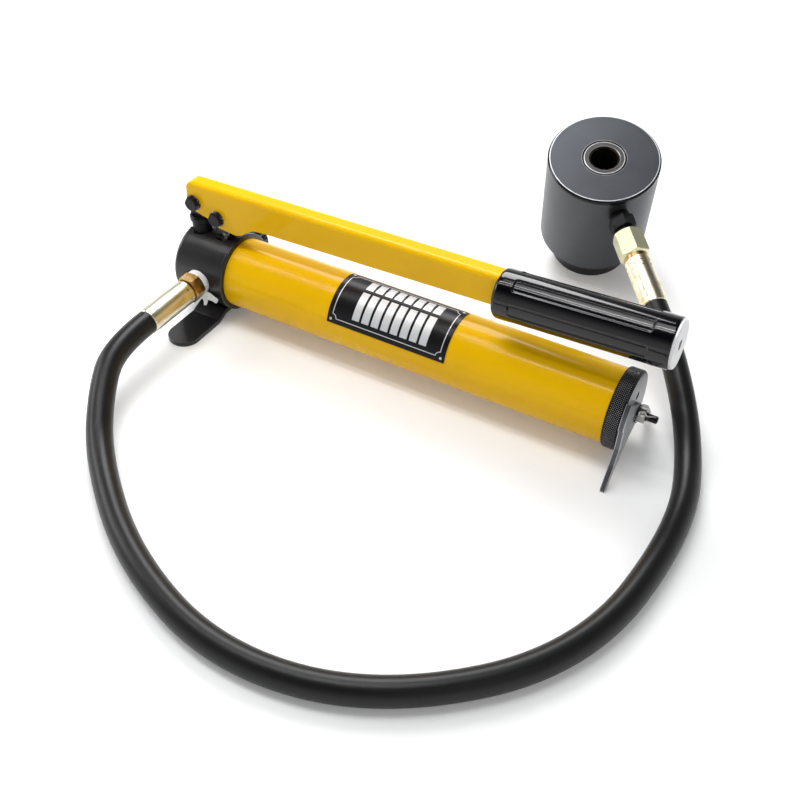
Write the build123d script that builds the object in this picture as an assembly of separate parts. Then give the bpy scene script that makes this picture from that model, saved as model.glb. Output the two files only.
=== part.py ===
from build123d import *
from math import acos, cos, degrees, pi, radians, sin, sqrt, tan
import os

os.makedirs("parts", exist_ok=True)

# Hydraulic hole punch: a hand pump on two feet, a hose, and a punch head with a pull-down piston.
# Millimetres. +X runs along the pump from its head to its end cap, +Y away from the outlet, +Z up.
# The origin is on the floor, at the middle of the pump and punch head seen from above.

# Places of the two halves
PUMP_X = -121.7
PUMP_Y = -73.8
AXIS_HEIGHT = 29.6

# Small fits used all over
RUNNING = 0.05
SEATING = 0.1
SIDE_GAP = 0.3
EDGE = 0.5

# Reservoir tube
TUBE_R = 22.5
TUBE_WALL = 2.0
TUBE_LENGTH = 255.8
SOCKET_DEPTH = 5.5
TUBE_BORE_R = TUBE_R - TUBE_WALL

# Pump head casting
HEAD_END_X = -38.5
HEAD_R = 25.0
HEAD_ROUND = 3.0
LIP_R = 25.5
LIP_WIDTH = 2.4
SPIGOT_R = TUBE_BORE_R - SIDE_GAP
SPIGOT_LENGTH = 12.0
SEAL_WIRE_R = 0.9
SEAL_GROOVE_WIDTH = 2.4
SEAL_GROOVE_X = 5.0
SEAL_GROOVE_DEPTH = 1.8
SPOT_FACE_Z = 21.5

# End cap
CAP_R = 23.7
CAP_WIDTH = 9.3
CAP_BAND_R = 23.1
CAP_BAND = 1.3
CAP_SPIGOT_LENGTH = 8.0
CAP_X = TUBE_LENGTH
CAP_FACE_X = CAP_X + CAP_WIDTH
FILL_HOLE_R = 2.6
FILL_HOLE_DEPTH = 8.0
FILL_HOLE_Y = 5.1
FILL_HOLE_Z = 7.7

# Tie rod, its washer and nut
ROD_R = 2.5
ROD_INNER_X = -4.0
ROD_TIP_X = 280.0
ROD_TIP_R = 2.0
ROD_WASHER_R = 5.4
ROD_WASHER_T = 1.2
ROD_NUT_AF = 8.0
ROD_NUT_T = 4.0
ROD_CLEAR = 0.3

# Rear foot: a plate on the cap with two tips and one ear past the cap's rim
PLATE_T = 3.0
PLATE_EAR_FROM = 43.0
PLATE_EAR_TO = 77.0
PLATE_EAR_RISE = 2.4
PLATE_TIP_Y = 38.2
PLATE_TIP_WIDTH = 3.2
PLATE_TIP_RISE = 1.4
PLATE_NEAR_SIDE = ((-24.6, -8.0), (-29.4, -16.5))
PLATE_UNDER = ((-30.4, -24.4), (-21.2, -18.2), (-8.1, -10.6), (0, -8.6), (8.1, -10.6), (21.2, -18.2), (30.4, -24.4))
PLATE_FAR_SIDE = ((27.0, -15.0), (12.5, -4.2))
PLATE_HUB_TOP = ((6.4, 1.5), (2.6, 5.6), (-3.5, 8.6))

# Front foot strap
STRAP_T = 3.0
STRAP_X = -17.0
STRAP_WIDTH = 21.0
STRAP_REACH = 56.0
STRAP_CORNER = 10.2
STRAP_BEND_Y = 23.6
STRAP_TOP_Y = 15.0
STRAP_RISE = 3.4
FLAT_MARGIN = 1.0
FLAT_DEPTH_BOX = 6.0
STRAP_SCREW_YS = (-6.5, 6.5)
STRAP_SCREW_R = 2.5
STRAP_SCREW_HEAD_R = 4.2
STRAP_SCREW_HEAD_T = 2.6
STRAP_SCREW_LENGTH = 12.0

# Lever pivot and pump plunger
PIVOT_X = -30.3
PIVOT_Z = 45.3
DRIVE_X = -12.9
DRIVE_Z = 39.1
PLUNGER_X = -12.54
PLUNGER_R = 5.0
PLUNGER_LOW_Z = -10.0
CHAMBER_LOW_Z = -12.0
PLUNGER_EYE_R = 6.5
PLUNGER_EYE_LOW_Z = 26.3
EYE_PLAY_X = 0.85
EYE_PLAY_Z = 0.3
GLAND_AF = 12.0
GLAND_TOP_Z = 26.0
GLAND_THREAD_R = 6.0
GLAND_LOW_Z = 15.0
PACKING_LOW_Z = 12.0
GLAND_FACE_R = 7.0

# Fulcrum post
POST_R = 6.75
POST_FLARE_R = 7.7
POST_FLARE_LOW_Z = 30.0
POST_FLARE_TOP_Z = 34.6
POST_TONGUE_R = 6.0
POST_STUD_R = 5.0
POST_STUD_DEPTH = 12.0
POST_FACE_R = 8.2

# Pressed lever channel
CHANNEL_WIDTH = 12.0
CHANNEL_T = 1.5
CHANNEL_ROUND = 3.2
CHANNEL_SIDE = (
    (-31.0, 39.2),
    (-19.8, 36.4),
    (-18.6, 33.9),
    (-16.6, 32.7),
    (-4.0, 31.4),
    (0.6, 30.9),
    (5.2, 32.4),
    (10.0, 36.4),
    (14.5, 38.6),
    (20.0, 39.3),
    (186.0, 44.4),
    (186.0, 46.5),
    (204.0, 47.0),
    (204.0, 60.0),
    (186.0, 59.5),
    (186.0, 63.6),
    (-30.6, 59.1),
    (-33.6, 58.2),
    (-34.9, 55.8),
    (-35.7, 46.5),
    (-35.0, 42.6),
    (-33.2, 40.4),
)
CHANNEL_TOP_FROM = (-30.6, 59.1)
CHANNEL_TOP_TO = (186.0, 63.6)
CHANNEL_END_X = 204.0

# Bolts through the channel
BOLT_R = 2.5
BOLT_HEAD_AF = 8.0
BOLT_HEAD_T = 2.9
BOLT_WASHER_R = 5.2
BOLT_WASHER_T = 1.0
BOLT_NUT_T = 4.4
BOLT_TIP = 1.2
TONGUE_HALF = CHANNEL_WIDTH / 2 - CHANNEL_T - SIDE_GAP

# Grip and its end disc
GRIP_FROM = (179.1, 49.8)
GRIP_TO = (280.1, 54.2)
GRIP_R = 14.57
GRIP_ROUND = 3.0
GRIP_FLUTES = 6
GRIP_FLUTE_FIRST = 30.0
GRIP_FLUTE_WIDTH = 7.6
GRIP_FLUTE_DEPTH = 0.9
GRIP_FLUTE_FROM = 11.0
GRIP_FLUTE_TO = 89.5
GRIP_FLUTE_CORNER = 1.4
DISC_R = 13.7
DISC_T = 1.6
DISC_CHAMFER = 0.5
DISC_SLOT_LENGTH = 6.0
DISC_SLOT_WIDTH = 1.2
DISC_SLOT_DEPTH = 0.9
DISC_SLOT_OFF = 1.0

# Oil ways in the pump head
WAY_R = 1.5
SUCTION_POCKET_R = 2.8
SUCTION_SEAT_Z = -16.5
SUCTION_WAY_Z = -17.5
BALL_R = 2.4
BALL_LIFT = 0.02
RETURN_WAY_Y = 15.0

# Release valve on the far side
VALVE_X = -19.0
VALVE_BORE_R = 4.0
VALVE_SEAT_Y = 12.0
VALVE_FACE_Y = 23.5
VALVE_FACE_R = 8.0
SPINDLE_LOW_Y = 16.4
KNOB_R = 12.0
KNOB_LOW_Y = 27.0
KNOB_HIGH_Y = 38.0
KNOB_FLUTES = 18
KNOB_FLUTE_R = 1.1
KNOB_ROUND = 1.2

# Outlet and the pump end of the hose
OUTLET_X = -19.0
OUTLET_FACE_Y = -23.5
OUTLET_FACE_R = 9.5
OUTLET_THREAD_R = 6.6
OUTLET_THREAD_END_Y = -13.5
TAPE_R = 8.3
TAPE_END_Y = -27.9
STEM_HEX_AF = 16.0
STEM_HEX_END_Y = -36.0
STEM_NECK_R = 6.8
STEM_NECK_END_Y = -37.4
FERRULE_R = 8.1
FERRULE_ROUND = 0.8
HOSE_R = 7.5
HOSE_START_Y = -74.3

# Label plate on the tube
LABEL_FROM_X = 77.7
LABEL_TO_X = 157.6
LABEL_FROM_ANGLE = -24.0
LABEL_TO_ANGLE = 77.6
LABEL_T = 0.35

# Punch head, in its own axes: origin under the boss, z up the bore, x along the port
PUNCH_X = 171.95
PUNCH_Y = 177.86
PUNCH_AXIS = (0.1089, -0.3467, 0.9316)
PORT_DIRECTION = (0.642, -0.691, -0.332)
BOSS_R = 27.24
BOSS_HEIGHT = 18.7
BOSS_EDGE = 0.5
PUNCH_R = 36.0
PUNCH_HEIGHT = 92.5
PUNCH_TOP_EDGE = 1.1
PUNCH_LOW_EDGE = 2.2
CYLINDER_R = 28.0
PLUG_THREAD_TOP = 30.0
CHAMBER_TOP = PUNCH_HEIGHT - 12.5
PISTON_TOP = PUNCH_HEIGHT - 16.5
PISTON_T = 12.0
PISTON_LOW = PISTON_TOP - PISTON_T
PISTON_ROD_R = 13.4
PISTON_ROD_EDGE = 0.5
MOUTH_EDGE = 0.9
STUD_HOLE_R = 9.49
STUD_HOLE_DEPTH = 26.0
STUD_HOLE_EDGE = 0.8
ROD_SEAL_T = 3.5
ROD_SEAL_HIGH = PUNCH_HEIGHT - 5.5
ROD_SEAL_LOW = ROD_SEAL_HIGH - ROD_SEAL_T
ROD_SEAL_R = 16.0
PISTON_SEAL_T = 4.0
PISTON_SEAL_LOW = PISTON_LOW + (PISTON_T - PISTON_SEAL_T) / 2
PISTON_SEAL_HIGH = PISTON_SEAL_LOW + PISTON_SEAL_T
PISTON_SEAL_INNER_R = 24.5
SPRING_R = 20.0
SPRING_WIRE_R = 1.25
SPRING_TURNS = 4

# Port fittings, as distances out from the punch head's axis
PORT_HEIGHT = PUNCH_HEIGHT - 15.0
PORT_THREAD_R = 6.5
PORT_INNER = 30.0
PORT_NECK_END = 39.0
PORT_HEX_AF = 14.5
PORT_HEX_END = 47.5
PORT_CONE_R = 5.6
PORT_CONE_END = 60.0
SWIVEL_AF = 17.0
SWIVEL_FROM = 50.5
SWIVEL_TO = 69.5
SWIVEL_CHAMFER = 0.9
SWIVEL_NECK_R = 7.4
SWIVEL_NECK_TO = 72.0
HOSE_END = 105.5

# The hose's route: points where its straight runs meet, from the pump to the punch head
HOSE_ROUTE = (
    (-19.0, -74.3, 29.6),
    (-19.0, -104.1, 29.6),
    (-11.2, -133.0, 22.4),
    (12.1, -165.5, 7.5),
    (77.8, -209.8, 7.5),
    (152.9, -235.1, 7.5),
    (230.1, -217.0, 7.5),
    (303.5, -152.5, 7.5),
    (313.0, -49.0, 7.5),
    (298.9, 14.6, 7.5),
)
HOSE_LAST_RUN = 33.63
BEND_SHARE = 0.45

PUMP = Location((PUMP_X, PUMP_Y, AXIS_HEIGHT))
LEAN = acos(PUNCH_AXIS[2])
PUNCH_Z = (BOSS_R - BOSS_EDGE) * sin(LEAN)


def punch_frame():
    """The punch head leans on the near edge of its boss."""
    axis = Vector(*PUNCH_AXIS).normalized()
    port = Vector(*PORT_DIRECTION)
    port = (port - axis * port.dot(axis)).normalized()
    origin = (PUMP_X + PUNCH_X, PUMP_Y + PUNCH_Y, PUNCH_Z)
    return Plane(origin=origin, x_dir=port, z_dir=axis)


PUNCH = punch_frame()


def along_x(radius, low, high, y=0, z=0):
    return Pos((low + high) / 2, y, z) * Rot(0, 90, 0) * Cylinder(radius, high - low)


def along_y(radius, low, high, x=0, z=0):
    return Pos(x, (low + high) / 2, z) * Rot(90, 0, 0) * Cylinder(radius, high - low)


def along_z(radius, low, high, x=0, y=0):
    return Pos(x, y, (low + high) / 2) * Cylinder(radius, high - low)


def block(low, high):
    size = [b - a for a, b in zip(low, high)]
    middle = [(a + b) / 2 for a, b in zip(low, high)]
    return Pos(*middle) * Box(*size)


def turned_x(points):
    """A turned shape about X, from (x, radius) points."""
    outline = Polyline(*[(x, 0, r) for x, r in points], close=True)
    return revolve(make_face(outline), Axis.X)


def turned_z(points):
    """A turned shape about Z, from (radius, z) points."""
    outline = Polyline(*[(r, 0, z) for r, z in points], close=True)
    return revolve(make_face(outline), Axis.Z)


def hexagon(across_flats, length, chamfer_size):
    """A hexagon prism from z = 0, its corners taken off at both ends by a cone."""
    corner = across_flats / sqrt(3)
    prism = extrude(RegularPolygon(corner, 6), length)
    drop = (corner - across_flats / 2) * tan(radians(30)) + chamfer_size
    cone = turned_z(
        (
            (0, 0),
            (corner - drop / tan(radians(30)), 0),
            (corner + EDGE, drop + EDGE * tan(radians(30))),
            (corner + EDGE, length - drop - EDGE * tan(radians(30))),
            (corner - drop / tan(radians(30)), length),
            (0, length),
        )
    )
    return prism & cone


def in_pump(shape):
    return PUMP * shape


def in_punch(shape):
    return PUNCH.location * shape


def toward_near_y(shape, start_y, x=0, z=0):
    """Lays a shape built up +Z along -Y, its foot at start_y."""
    return Pos(x, start_y, z) * Rot(90, 0, 0) * shape


def toward_far_y(shape, start_y, x=0, z=0):
    """Lays a shape built up +Z along +Y, its foot at start_y."""
    return Pos(x, start_y, z) * Rot(-90, 0, 0) * shape


def toward_x(shape, start_x):
    """Lays a shape built up +Z along +X, its foot at start_x."""
    return Pos(start_x, 0, 0) * Rot(0, 90, 0) * shape


def ring_x(outer, inner, low, high):
    return along_x(outer, low, high) - along_x(inner, low - 1, high + 1)


def pump_head():
    barrel = turned_x(((HEAD_END_X, 0), (HEAD_END_X, HEAD_R), (-LIP_WIDTH, HEAD_R), (-LIP_WIDTH, 0)))
    end_edge = barrel.edges().filter_by(GeomType.CIRCLE).sort_by(Axis.X)[0]
    barrel = fillet(end_edge, HEAD_ROUND)
    lip = turned_x(
        (
            (-LIP_WIDTH, 0),
            (-LIP_WIDTH, HEAD_R),
            (-LIP_WIDTH + EDGE, LIP_R),
            (-EDGE, LIP_R),
            (0, LIP_R - EDGE),
            (0, 0),
        )
    )
    body = barrel + lip + along_x(SPIGOT_R, -1, SPIGOT_LENGTH)
    body -= ring_x(TUBE_R + SEATING, TUBE_BORE_R - SEATING, -SOCKET_DEPTH, SOCKET_DEPTH)
    body -= seal_groove(SEAL_GROOVE_X)
    body -= along_x(ROD_R + RUNNING, ROD_INNER_X, SPIGOT_LENGTH + 1)
    body -= along_z(POST_FACE_R, SPOT_FACE_Z, HEAD_R + 1, PIVOT_X)
    body -= along_z(POST_STUD_R + RUNNING, SPOT_FACE_Z - POST_STUD_DEPTH, HEAD_R, PIVOT_X)
    body -= along_z(GLAND_FACE_R, SPOT_FACE_Z, HEAD_R + 1, PLUNGER_X)
    body -= along_z(GLAND_THREAD_R + RUNNING, PACKING_LOW_Z, HEAD_R, PLUNGER_X)
    body -= along_z(PLUNGER_R + RUNNING, CHAMBER_LOW_Z, HEAD_R, PLUNGER_X)
    body -= oil_ways()
    body -= valve_bore()
    body -= outlet_bore()
    body -= strap_seat()
    return body


def seal_groove(start_x):
    end_x = start_x + SEAL_GROOVE_WIDTH
    return ring_x(SPIGOT_R + 1, SPIGOT_R - SEAL_GROOVE_DEPTH, start_x, end_x)


def oil_ways():
    pocket = along_z(SUCTION_POCKET_R, SUCTION_SEAT_Z, CHAMBER_LOW_Z + EDGE, PLUNGER_X)
    drop = along_z(WAY_R, SUCTION_WAY_Z - WAY_R, SUCTION_SEAT_Z + EDGE, PLUNGER_X)
    suction = along_x(WAY_R, PLUNGER_X, SPIGOT_LENGTH + 1, 0, SUCTION_WAY_Z)
    cross = along_x(WAY_R, VALVE_X, PLUNGER_X)
    back = along_x(WAY_R, VALVE_X, SPIGOT_LENGTH + 1, RETURN_WAY_Y)
    return pocket + drop + suction + cross + back


def valve_bore():
    seat = along_y(WAY_R, 0, VALVE_SEAT_Y + EDGE, VALVE_X)
    bore = along_y(VALVE_BORE_R, VALVE_SEAT_Y, HEAD_R + 1, VALVE_X)
    face = along_y(VALVE_FACE_R, VALVE_FACE_Y, HEAD_R + 1, VALVE_X)
    return seat + bore + face


def outlet_bore():
    way = along_y(WAY_R, OUTLET_THREAD_END_Y, 0, OUTLET_X)
    thread = along_y(OUTLET_THREAD_R, -HEAD_R - 1, OUTLET_THREAD_END_Y + EDGE, OUTLET_X)
    face = along_y(OUTLET_FACE_R, -HEAD_R - 1, OUTLET_FACE_Y, OUTLET_X)
    return way + thread + face


def strap_seat():
    half = STRAP_WIDTH / 2 + FLAT_MARGIN
    seat_z = STRAP_RISE + STRAP_T - AXIS_HEIGHT
    low = (STRAP_X - half, -HEAD_R, seat_z - FLAT_DEPTH_BOX)
    high = (STRAP_X + half, HEAD_R, seat_z)
    seat = block(low, high)
    top = STRAP_RISE + STRAP_SCREW_LENGTH - AXIS_HEIGHT
    for y in STRAP_SCREW_YS:
        seat += along_z(STRAP_SCREW_R + RUNNING, seat_z - EDGE, top, STRAP_X, y)
    return seat


def reservoir_tube():
    return ring_x(TUBE_R, TUBE_BORE_R, -SOCKET_DEPTH, TUBE_LENGTH + SOCKET_DEPTH)


def end_cap():
    body = turned_x(
        (
            (CAP_X, 0),
            (CAP_X, CAP_BAND_R),
            (CAP_X + CAP_BAND / 2, CAP_R),
            (CAP_FACE_X - CAP_BAND / 2, CAP_R),
            (CAP_FACE_X, CAP_R - CAP_BAND / 2),
            (CAP_FACE_X, 0),
        )
    )
    body += along_x(SPIGOT_R, CAP_X - CAP_SPIGOT_LENGTH, CAP_X + 1)
    groove_to = CAP_X + SOCKET_DEPTH
    body -= ring_x(TUBE_R + SEATING, TUBE_BORE_R - SEATING, CAP_X - SOCKET_DEPTH, groove_to)
    body -= seal_groove(CAP_X - SEAL_GROOVE_X)
    body -= along_x(ROD_R + ROD_CLEAR, CAP_X - CAP_SPIGOT_LENGTH - 1, CAP_FACE_X + 1)
    hole_from = CAP_FACE_X - FILL_HOLE_DEPTH
    body -= along_x(FILL_HOLE_R, hole_from, CAP_FACE_X + 1, FILL_HOLE_Y, FILL_HOLE_Z)
    return body


def tube_seals():
    seals = []
    for start_x in (SEAL_GROOVE_X, CAP_X - SEAL_GROOVE_X):
        middle = start_x + SEAL_GROOVE_WIDTH / 2
        ring_r = TUBE_BORE_R - RUNNING - SEAL_WIRE_R
        seals.append(Pos(middle, 0, 0) * Rot(0, 90, 0) * Torus(ring_r, SEAL_WIRE_R))
    return seals


def tie_rod():
    nut_end = plate_face_x() + ROD_WASHER_T + ROD_NUT_T
    rod = along_x(ROD_R, ROD_INNER_X, nut_end + EDGE)
    rod += along_x(ROD_TIP_R, nut_end, ROD_TIP_X)
    tip = rod.edges().filter_by(GeomType.CIRCLE).sort_by(Axis.X)[-1]
    return chamfer(tip, EDGE)


def plate_face_x():
    return CAP_FACE_X + PLATE_T


def tie_washer():
    low = plate_face_x()
    return ring_x(ROD_WASHER_R, ROD_R + RUNNING, low, low + ROD_WASHER_T)


def tie_nut():
    low = plate_face_x() + ROD_WASHER_T
    nut = toward_x(hexagon(ROD_NUT_AF, ROD_NUT_T, 0), low)
    return nut - along_x(ROD_R + RUNNING, low - 1, low + ROD_NUT_T + 1)


def plate_outline():
    """The rear plate seen along the pump: hub, arm to the ear, two legs down to the floor."""
    floor = -AXIS_HEIGHT
    heel = PLATE_TIP_Y - PLATE_TIP_WIDTH
    arm = []
    for angle in (PLATE_EAR_FROM, PLATE_EAR_TO):
        turn = radians(angle)
        arm.append((-CAP_R * sin(turn), CAP_R * cos(turn)))
    near = (*PLATE_NEAR_SIDE, (-PLATE_TIP_Y, floor + PLATE_TIP_RISE), (-PLATE_TIP_Y, floor), (-heel, floor))
    far = ((heel, floor), (PLATE_TIP_Y, floor), (PLATE_TIP_Y, floor + PLATE_TIP_RISE), *PLATE_FAR_SIDE)
    return (*arm, *near, *PLATE_UNDER, *far, *PLATE_HUB_TOP)


def rear_foot():
    corners = [(CAP_FACE_X, y, z) for y, z in plate_outline()]
    plate = extrude(make_face(Polyline(*corners, close=True)), PLATE_T, (1, 0, 0))
    ear_face = Polyline(
        (CAP_FACE_X, 0, CAP_R - EDGE),
        (CAP_FACE_X, 0, CAP_R + PLATE_EAR_RISE),
        (plate_face_x(), 0, CAP_R + PLATE_EAR_RISE),
        (plate_face_x(), 0, CAP_R - EDGE),
        close=True,
    )
    start = Rot(PLATE_EAR_FROM, 0, 0) * make_face(ear_face)
    plate += revolve(start, Axis.X, PLATE_EAR_TO - PLATE_EAR_FROM)
    return plate - along_x(ROD_R + ROD_CLEAR, CAP_X, ROD_TIP_X)


def front_foot():
    """One bent strap: two ears flat on the floor, its middle raised under the pump head."""
    side = []
    for y, low in (
        (-STRAP_REACH, 0),
        (-STRAP_BEND_Y, 0),
        (-STRAP_TOP_Y, STRAP_RISE),
        (STRAP_TOP_Y, STRAP_RISE),
        (STRAP_BEND_Y, 0),
        (STRAP_REACH, 0),
    ):
        side.append((y, low))
    upper = [(y, low + STRAP_T) for y, low in reversed(side)]
    left = STRAP_X - STRAP_WIDTH / 2
    corners = [(left, y, z - AXIS_HEIGHT) for y, z in side + upper]
    bent = extrude(make_face(Polyline(*corners, close=True)), STRAP_WIDTH, (1, 0, 0))
    plan = RectangleRounded(STRAP_WIDTH, 2 * STRAP_REACH, STRAP_CORNER)
    plan = Pos(STRAP_X, 0, -AXIS_HEIGHT - 1) * plan
    strap = bent & extrude(plan, STRAP_RISE + STRAP_T + 2)
    for y in STRAP_SCREW_YS:
        strap -= along_z(STRAP_SCREW_R + SEATING, -AXIS_HEIGHT, 0, STRAP_X, y)
    return strap


def foot_screws():
    under = STRAP_RISE - AXIS_HEIGHT
    screws = []
    for y in STRAP_SCREW_YS:
        head = along_z(STRAP_SCREW_HEAD_R, under - STRAP_SCREW_HEAD_T, under, STRAP_X, y)
        low_edge = head.edges().filter_by(GeomType.CIRCLE).sort_by(Axis.Z)[0]
        head = fillet(low_edge, EDGE)
        shank = along_z(STRAP_SCREW_R, under - EDGE, under + STRAP_SCREW_LENGTH - EDGE, STRAP_X, y)
        screws.append(head + shank)
    return screws


def fulcrum_post():
    body = turned_z(
        (
            (0, SPOT_FACE_Z - POST_STUD_DEPTH + EDGE),
            (POST_STUD_R, SPOT_FACE_Z - POST_STUD_DEPTH + EDGE),
            (POST_STUD_R, SPOT_FACE_Z),
            (POST_R, SPOT_FACE_Z),
            (POST_R, POST_FLARE_LOW_Z),
            (POST_FLARE_R, POST_FLARE_LOW_Z + 1),
            (POST_FLARE_R, POST_FLARE_TOP_Z - 1),
            (POST_R, POST_FLARE_TOP_Z),
            (0, POST_FLARE_TOP_Z),
        )
    )
    body = Pos(PIVOT_X, 0, 0) * body
    low = (PIVOT_X - POST_TONGUE_R, -TONGUE_HALF, POST_FLARE_TOP_Z - 1)
    high = (PIVOT_X + POST_TONGUE_R, TONGUE_HALF, PIVOT_Z)
    neck = block(low, high) & along_z(POST_R, low[2], high[2], PIVOT_X)
    eye = along_y(POST_TONGUE_R, -TONGUE_HALF, TONGUE_HALF, PIVOT_X, PIVOT_Z)
    hole = along_y(BOLT_R + RUNNING, -HEAD_R, HEAD_R, PIVOT_X, PIVOT_Z)
    return body + neck + eye - hole


def gland_nut():
    nut = Pos(PLUNGER_X, 0, SPOT_FACE_Z) * hexagon(GLAND_AF, GLAND_TOP_Z - SPOT_FACE_Z, 0)
    nut += along_z(GLAND_THREAD_R, GLAND_LOW_Z, SPOT_FACE_Z, PLUNGER_X)
    return nut - along_z(PLUNGER_R + RUNNING, GLAND_LOW_Z - 1, GLAND_TOP_Z + 1, PLUNGER_X)


def plunger_packing():
    ring = along_z(GLAND_THREAD_R, PACKING_LOW_Z, GLAND_LOW_Z, PLUNGER_X)
    return ring - along_z(PLUNGER_R + RUNNING, PACKING_LOW_Z - 1, GLAND_LOW_Z + 1, PLUNGER_X)


def plunger():
    """The pump plunger: a round rod with a flat eye, its cross slot round the drive bolt."""
    rod = along_z(PLUNGER_R, PLUNGER_LOW_Z, PLUNGER_EYE_LOW_Z, PLUNGER_X)
    low = (PLUNGER_X - PLUNGER_EYE_R, -TONGUE_HALF, PLUNGER_EYE_LOW_Z)
    high = (PLUNGER_X + PLUNGER_EYE_R, TONGUE_HALF, DRIVE_Z)
    eye = block(low, high) + along_y(PLUNGER_EYE_R, low[1], high[1], PLUNGER_X, DRIVE_Z)
    slot_r = BOLT_R + EYE_PLAY_Z
    slot = block(
        (PLUNGER_X - EYE_PLAY_X, -HEAD_R, DRIVE_Z - slot_r),
        (PLUNGER_X + EYE_PLAY_X, HEAD_R, DRIVE_Z + slot_r),
    )
    for side in (-EYE_PLAY_X, EYE_PLAY_X):
        slot += along_y(slot_r, -HEAD_R, HEAD_R, PLUNGER_X + side, DRIVE_Z)
    return rod + eye - slot


def lever_outer():
    """The outer form of the pressed lever, its two long top edges rounded."""
    half = CHANNEL_WIDTH / 2
    corners = [(x, -half, z) for x, z in CHANNEL_SIDE]
    form = extrude(make_face(Polyline(*corners, close=True)), CHANNEL_WIDTH, (0, 1, 0))
    middle = (CHANNEL_TOP_FROM[1] + CHANNEL_TOP_TO[1]) / 2
    long_top = []
    for edge in form.edges():
        centre = edge.center()
        if edge.length > top_run() / 2 and centre.Z > middle - CHANNEL_ROUND:
            long_top.append(edge)
    return fillet(long_top, CHANNEL_ROUND)


def top_run():
    return CHANNEL_TOP_TO[0] - CHANNEL_TOP_FROM[0]


def top_height(x):
    """The lever's top line, carried on past both its ends."""
    rise = CHANNEL_TOP_TO[1] - CHANNEL_TOP_FROM[1]
    return CHANNEL_TOP_FROM[1] + (x - CHANNEL_TOP_FROM[0]) * rise / top_run()


def handle_lever():
    """A pressed channel, open below, with ears round the two bolts."""
    inner = CHANNEL_WIDTH / 2 - CHANNEL_T
    left = CHANNEL_TOP_FROM[0] - HEAD_R
    right = CHANNEL_END_X + EDGE
    under_sheet = (
        (left, top_height(left) - CHANNEL_T),
        (right, top_height(right) - CHANNEL_T),
        (right, 0),
        (left, 0),
    )
    corners = [(x, -inner, z) for x, z in under_sheet]
    hollow = extrude(make_face(Polyline(*corners, close=True)), 2 * inner, (0, 1, 0))
    inner_top = [e for e in hollow.edges() if e.length > top_run() and e.center().Z > DRIVE_Z]
    hollow = fillet(inner_top, CHANNEL_ROUND - CHANNEL_T)
    lever = lever_outer() - hollow
    for x, z in pivot_points():
        lever -= along_y(BOLT_R + SEATING, -HEAD_R, HEAD_R, x, z)
    return lever


def grip_frame():
    along = Vector(GRIP_TO[0] - GRIP_FROM[0], 0, GRIP_TO[1] - GRIP_FROM[1])
    return Plane(origin=(GRIP_FROM[0], 0, GRIP_FROM[1]), x_dir=(0, 1, 0), z_dir=along)


def grip_length():
    return sqrt((GRIP_TO[0] - GRIP_FROM[0]) ** 2 + (GRIP_TO[1] - GRIP_FROM[1]) ** 2)


def handle_grip():
    length = grip_length()
    body = along_z(GRIP_R, 0, length)
    ends = body.edges().filter_by(GeomType.CIRCLE).sort_by(Axis.Z)
    body = fillet(ends[0], GRIP_ROUND)
    body = chamfer(body.edges().filter_by(GeomType.CIRCLE).sort_by(Axis.Z)[-1], EDGE)
    middle = (GRIP_FLUTE_FROM + GRIP_FLUTE_TO) / 2
    run = GRIP_FLUTE_TO - GRIP_FLUTE_FROM
    depth = GRIP_FLUTE_DEPTH
    outline = RectangleRounded(GRIP_FLUTE_WIDTH, run, GRIP_FLUTE_CORNER)
    for i in range(GRIP_FLUTES):
        turn = GRIP_FLUTE_FIRST + i * 360 / GRIP_FLUTES
        cutter = extrude(Plane.XZ * outline, -2 * depth - 1)
        cutter = Pos(0, GRIP_R - 2 * depth, middle) * cutter
        floor = along_z(GRIP_R - depth, 0, length)
        body -= Rot(0, 0, turn) * (cutter - floor)
    body = grip_frame().location * body
    return body - lever_outer()


def grip_end_disc():
    disc = along_z(DISC_R, 0, DISC_T)
    disc = chamfer(disc.edges().filter_by(GeomType.CIRCLE).sort_by(Axis.Z)[-1], DISC_CHAMFER)
    low = (-DISC_SLOT_LENGTH / 2, DISC_SLOT_OFF, DISC_T - DISC_SLOT_DEPTH)
    high = (DISC_SLOT_LENGTH / 2, DISC_SLOT_OFF + DISC_SLOT_WIDTH, DISC_T + 1)
    disc -= Rot(0, 0, 90) * block(low, high)
    return grip_frame().location * Pos(0, 0, grip_length()) * disc


def pivot_points():
    return ((PIVOT_X, PIVOT_Z), (DRIVE_X, DRIVE_Z))


def pivot_bolts():
    half = CHANNEL_WIDTH / 2
    tip = half + BOLT_WASHER_T + BOLT_NUT_T + BOLT_TIP
    bolts = []
    for x, z in pivot_points():
        head = hexagon(BOLT_HEAD_AF, BOLT_HEAD_T, 0)
        bolt = toward_near_y(head, -half - BOLT_WASHER_T, x, z)
        bolt += along_y(BOLT_R, -half - BOLT_WASHER_T - EDGE, tip, x, z)
        bolts.append(bolt)
    return bolts


def pivot_washers():
    half = CHANNEL_WIDTH / 2
    washers = []
    for x, z in pivot_points():
        for low in (-half - BOLT_WASHER_T, half):
            ring = along_y(BOLT_WASHER_R, low, low + BOLT_WASHER_T, x, z)
            ring -= along_y(BOLT_R + RUNNING, low - 1, low + BOLT_WASHER_T + 1, x, z)
            washers.append(ring)
    return washers


def pivot_nuts():
    low = CHANNEL_WIDTH / 2 + BOLT_WASHER_T
    nuts = []
    for x, z in pivot_points():
        nut = toward_far_y(hexagon(BOLT_HEAD_AF, BOLT_NUT_T, 0), low, x, z)
        nuts.append(nut - along_y(BOLT_R + RUNNING, low - 1, low + BOLT_NUT_T + 1, x, z))
    return nuts


def suction_ball():
    rest = SUCTION_SEAT_Z + sqrt(BALL_R**2 - WAY_R**2) + BALL_LIFT
    return Pos(PLUNGER_X, 0, rest) * Sphere(BALL_R)


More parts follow.
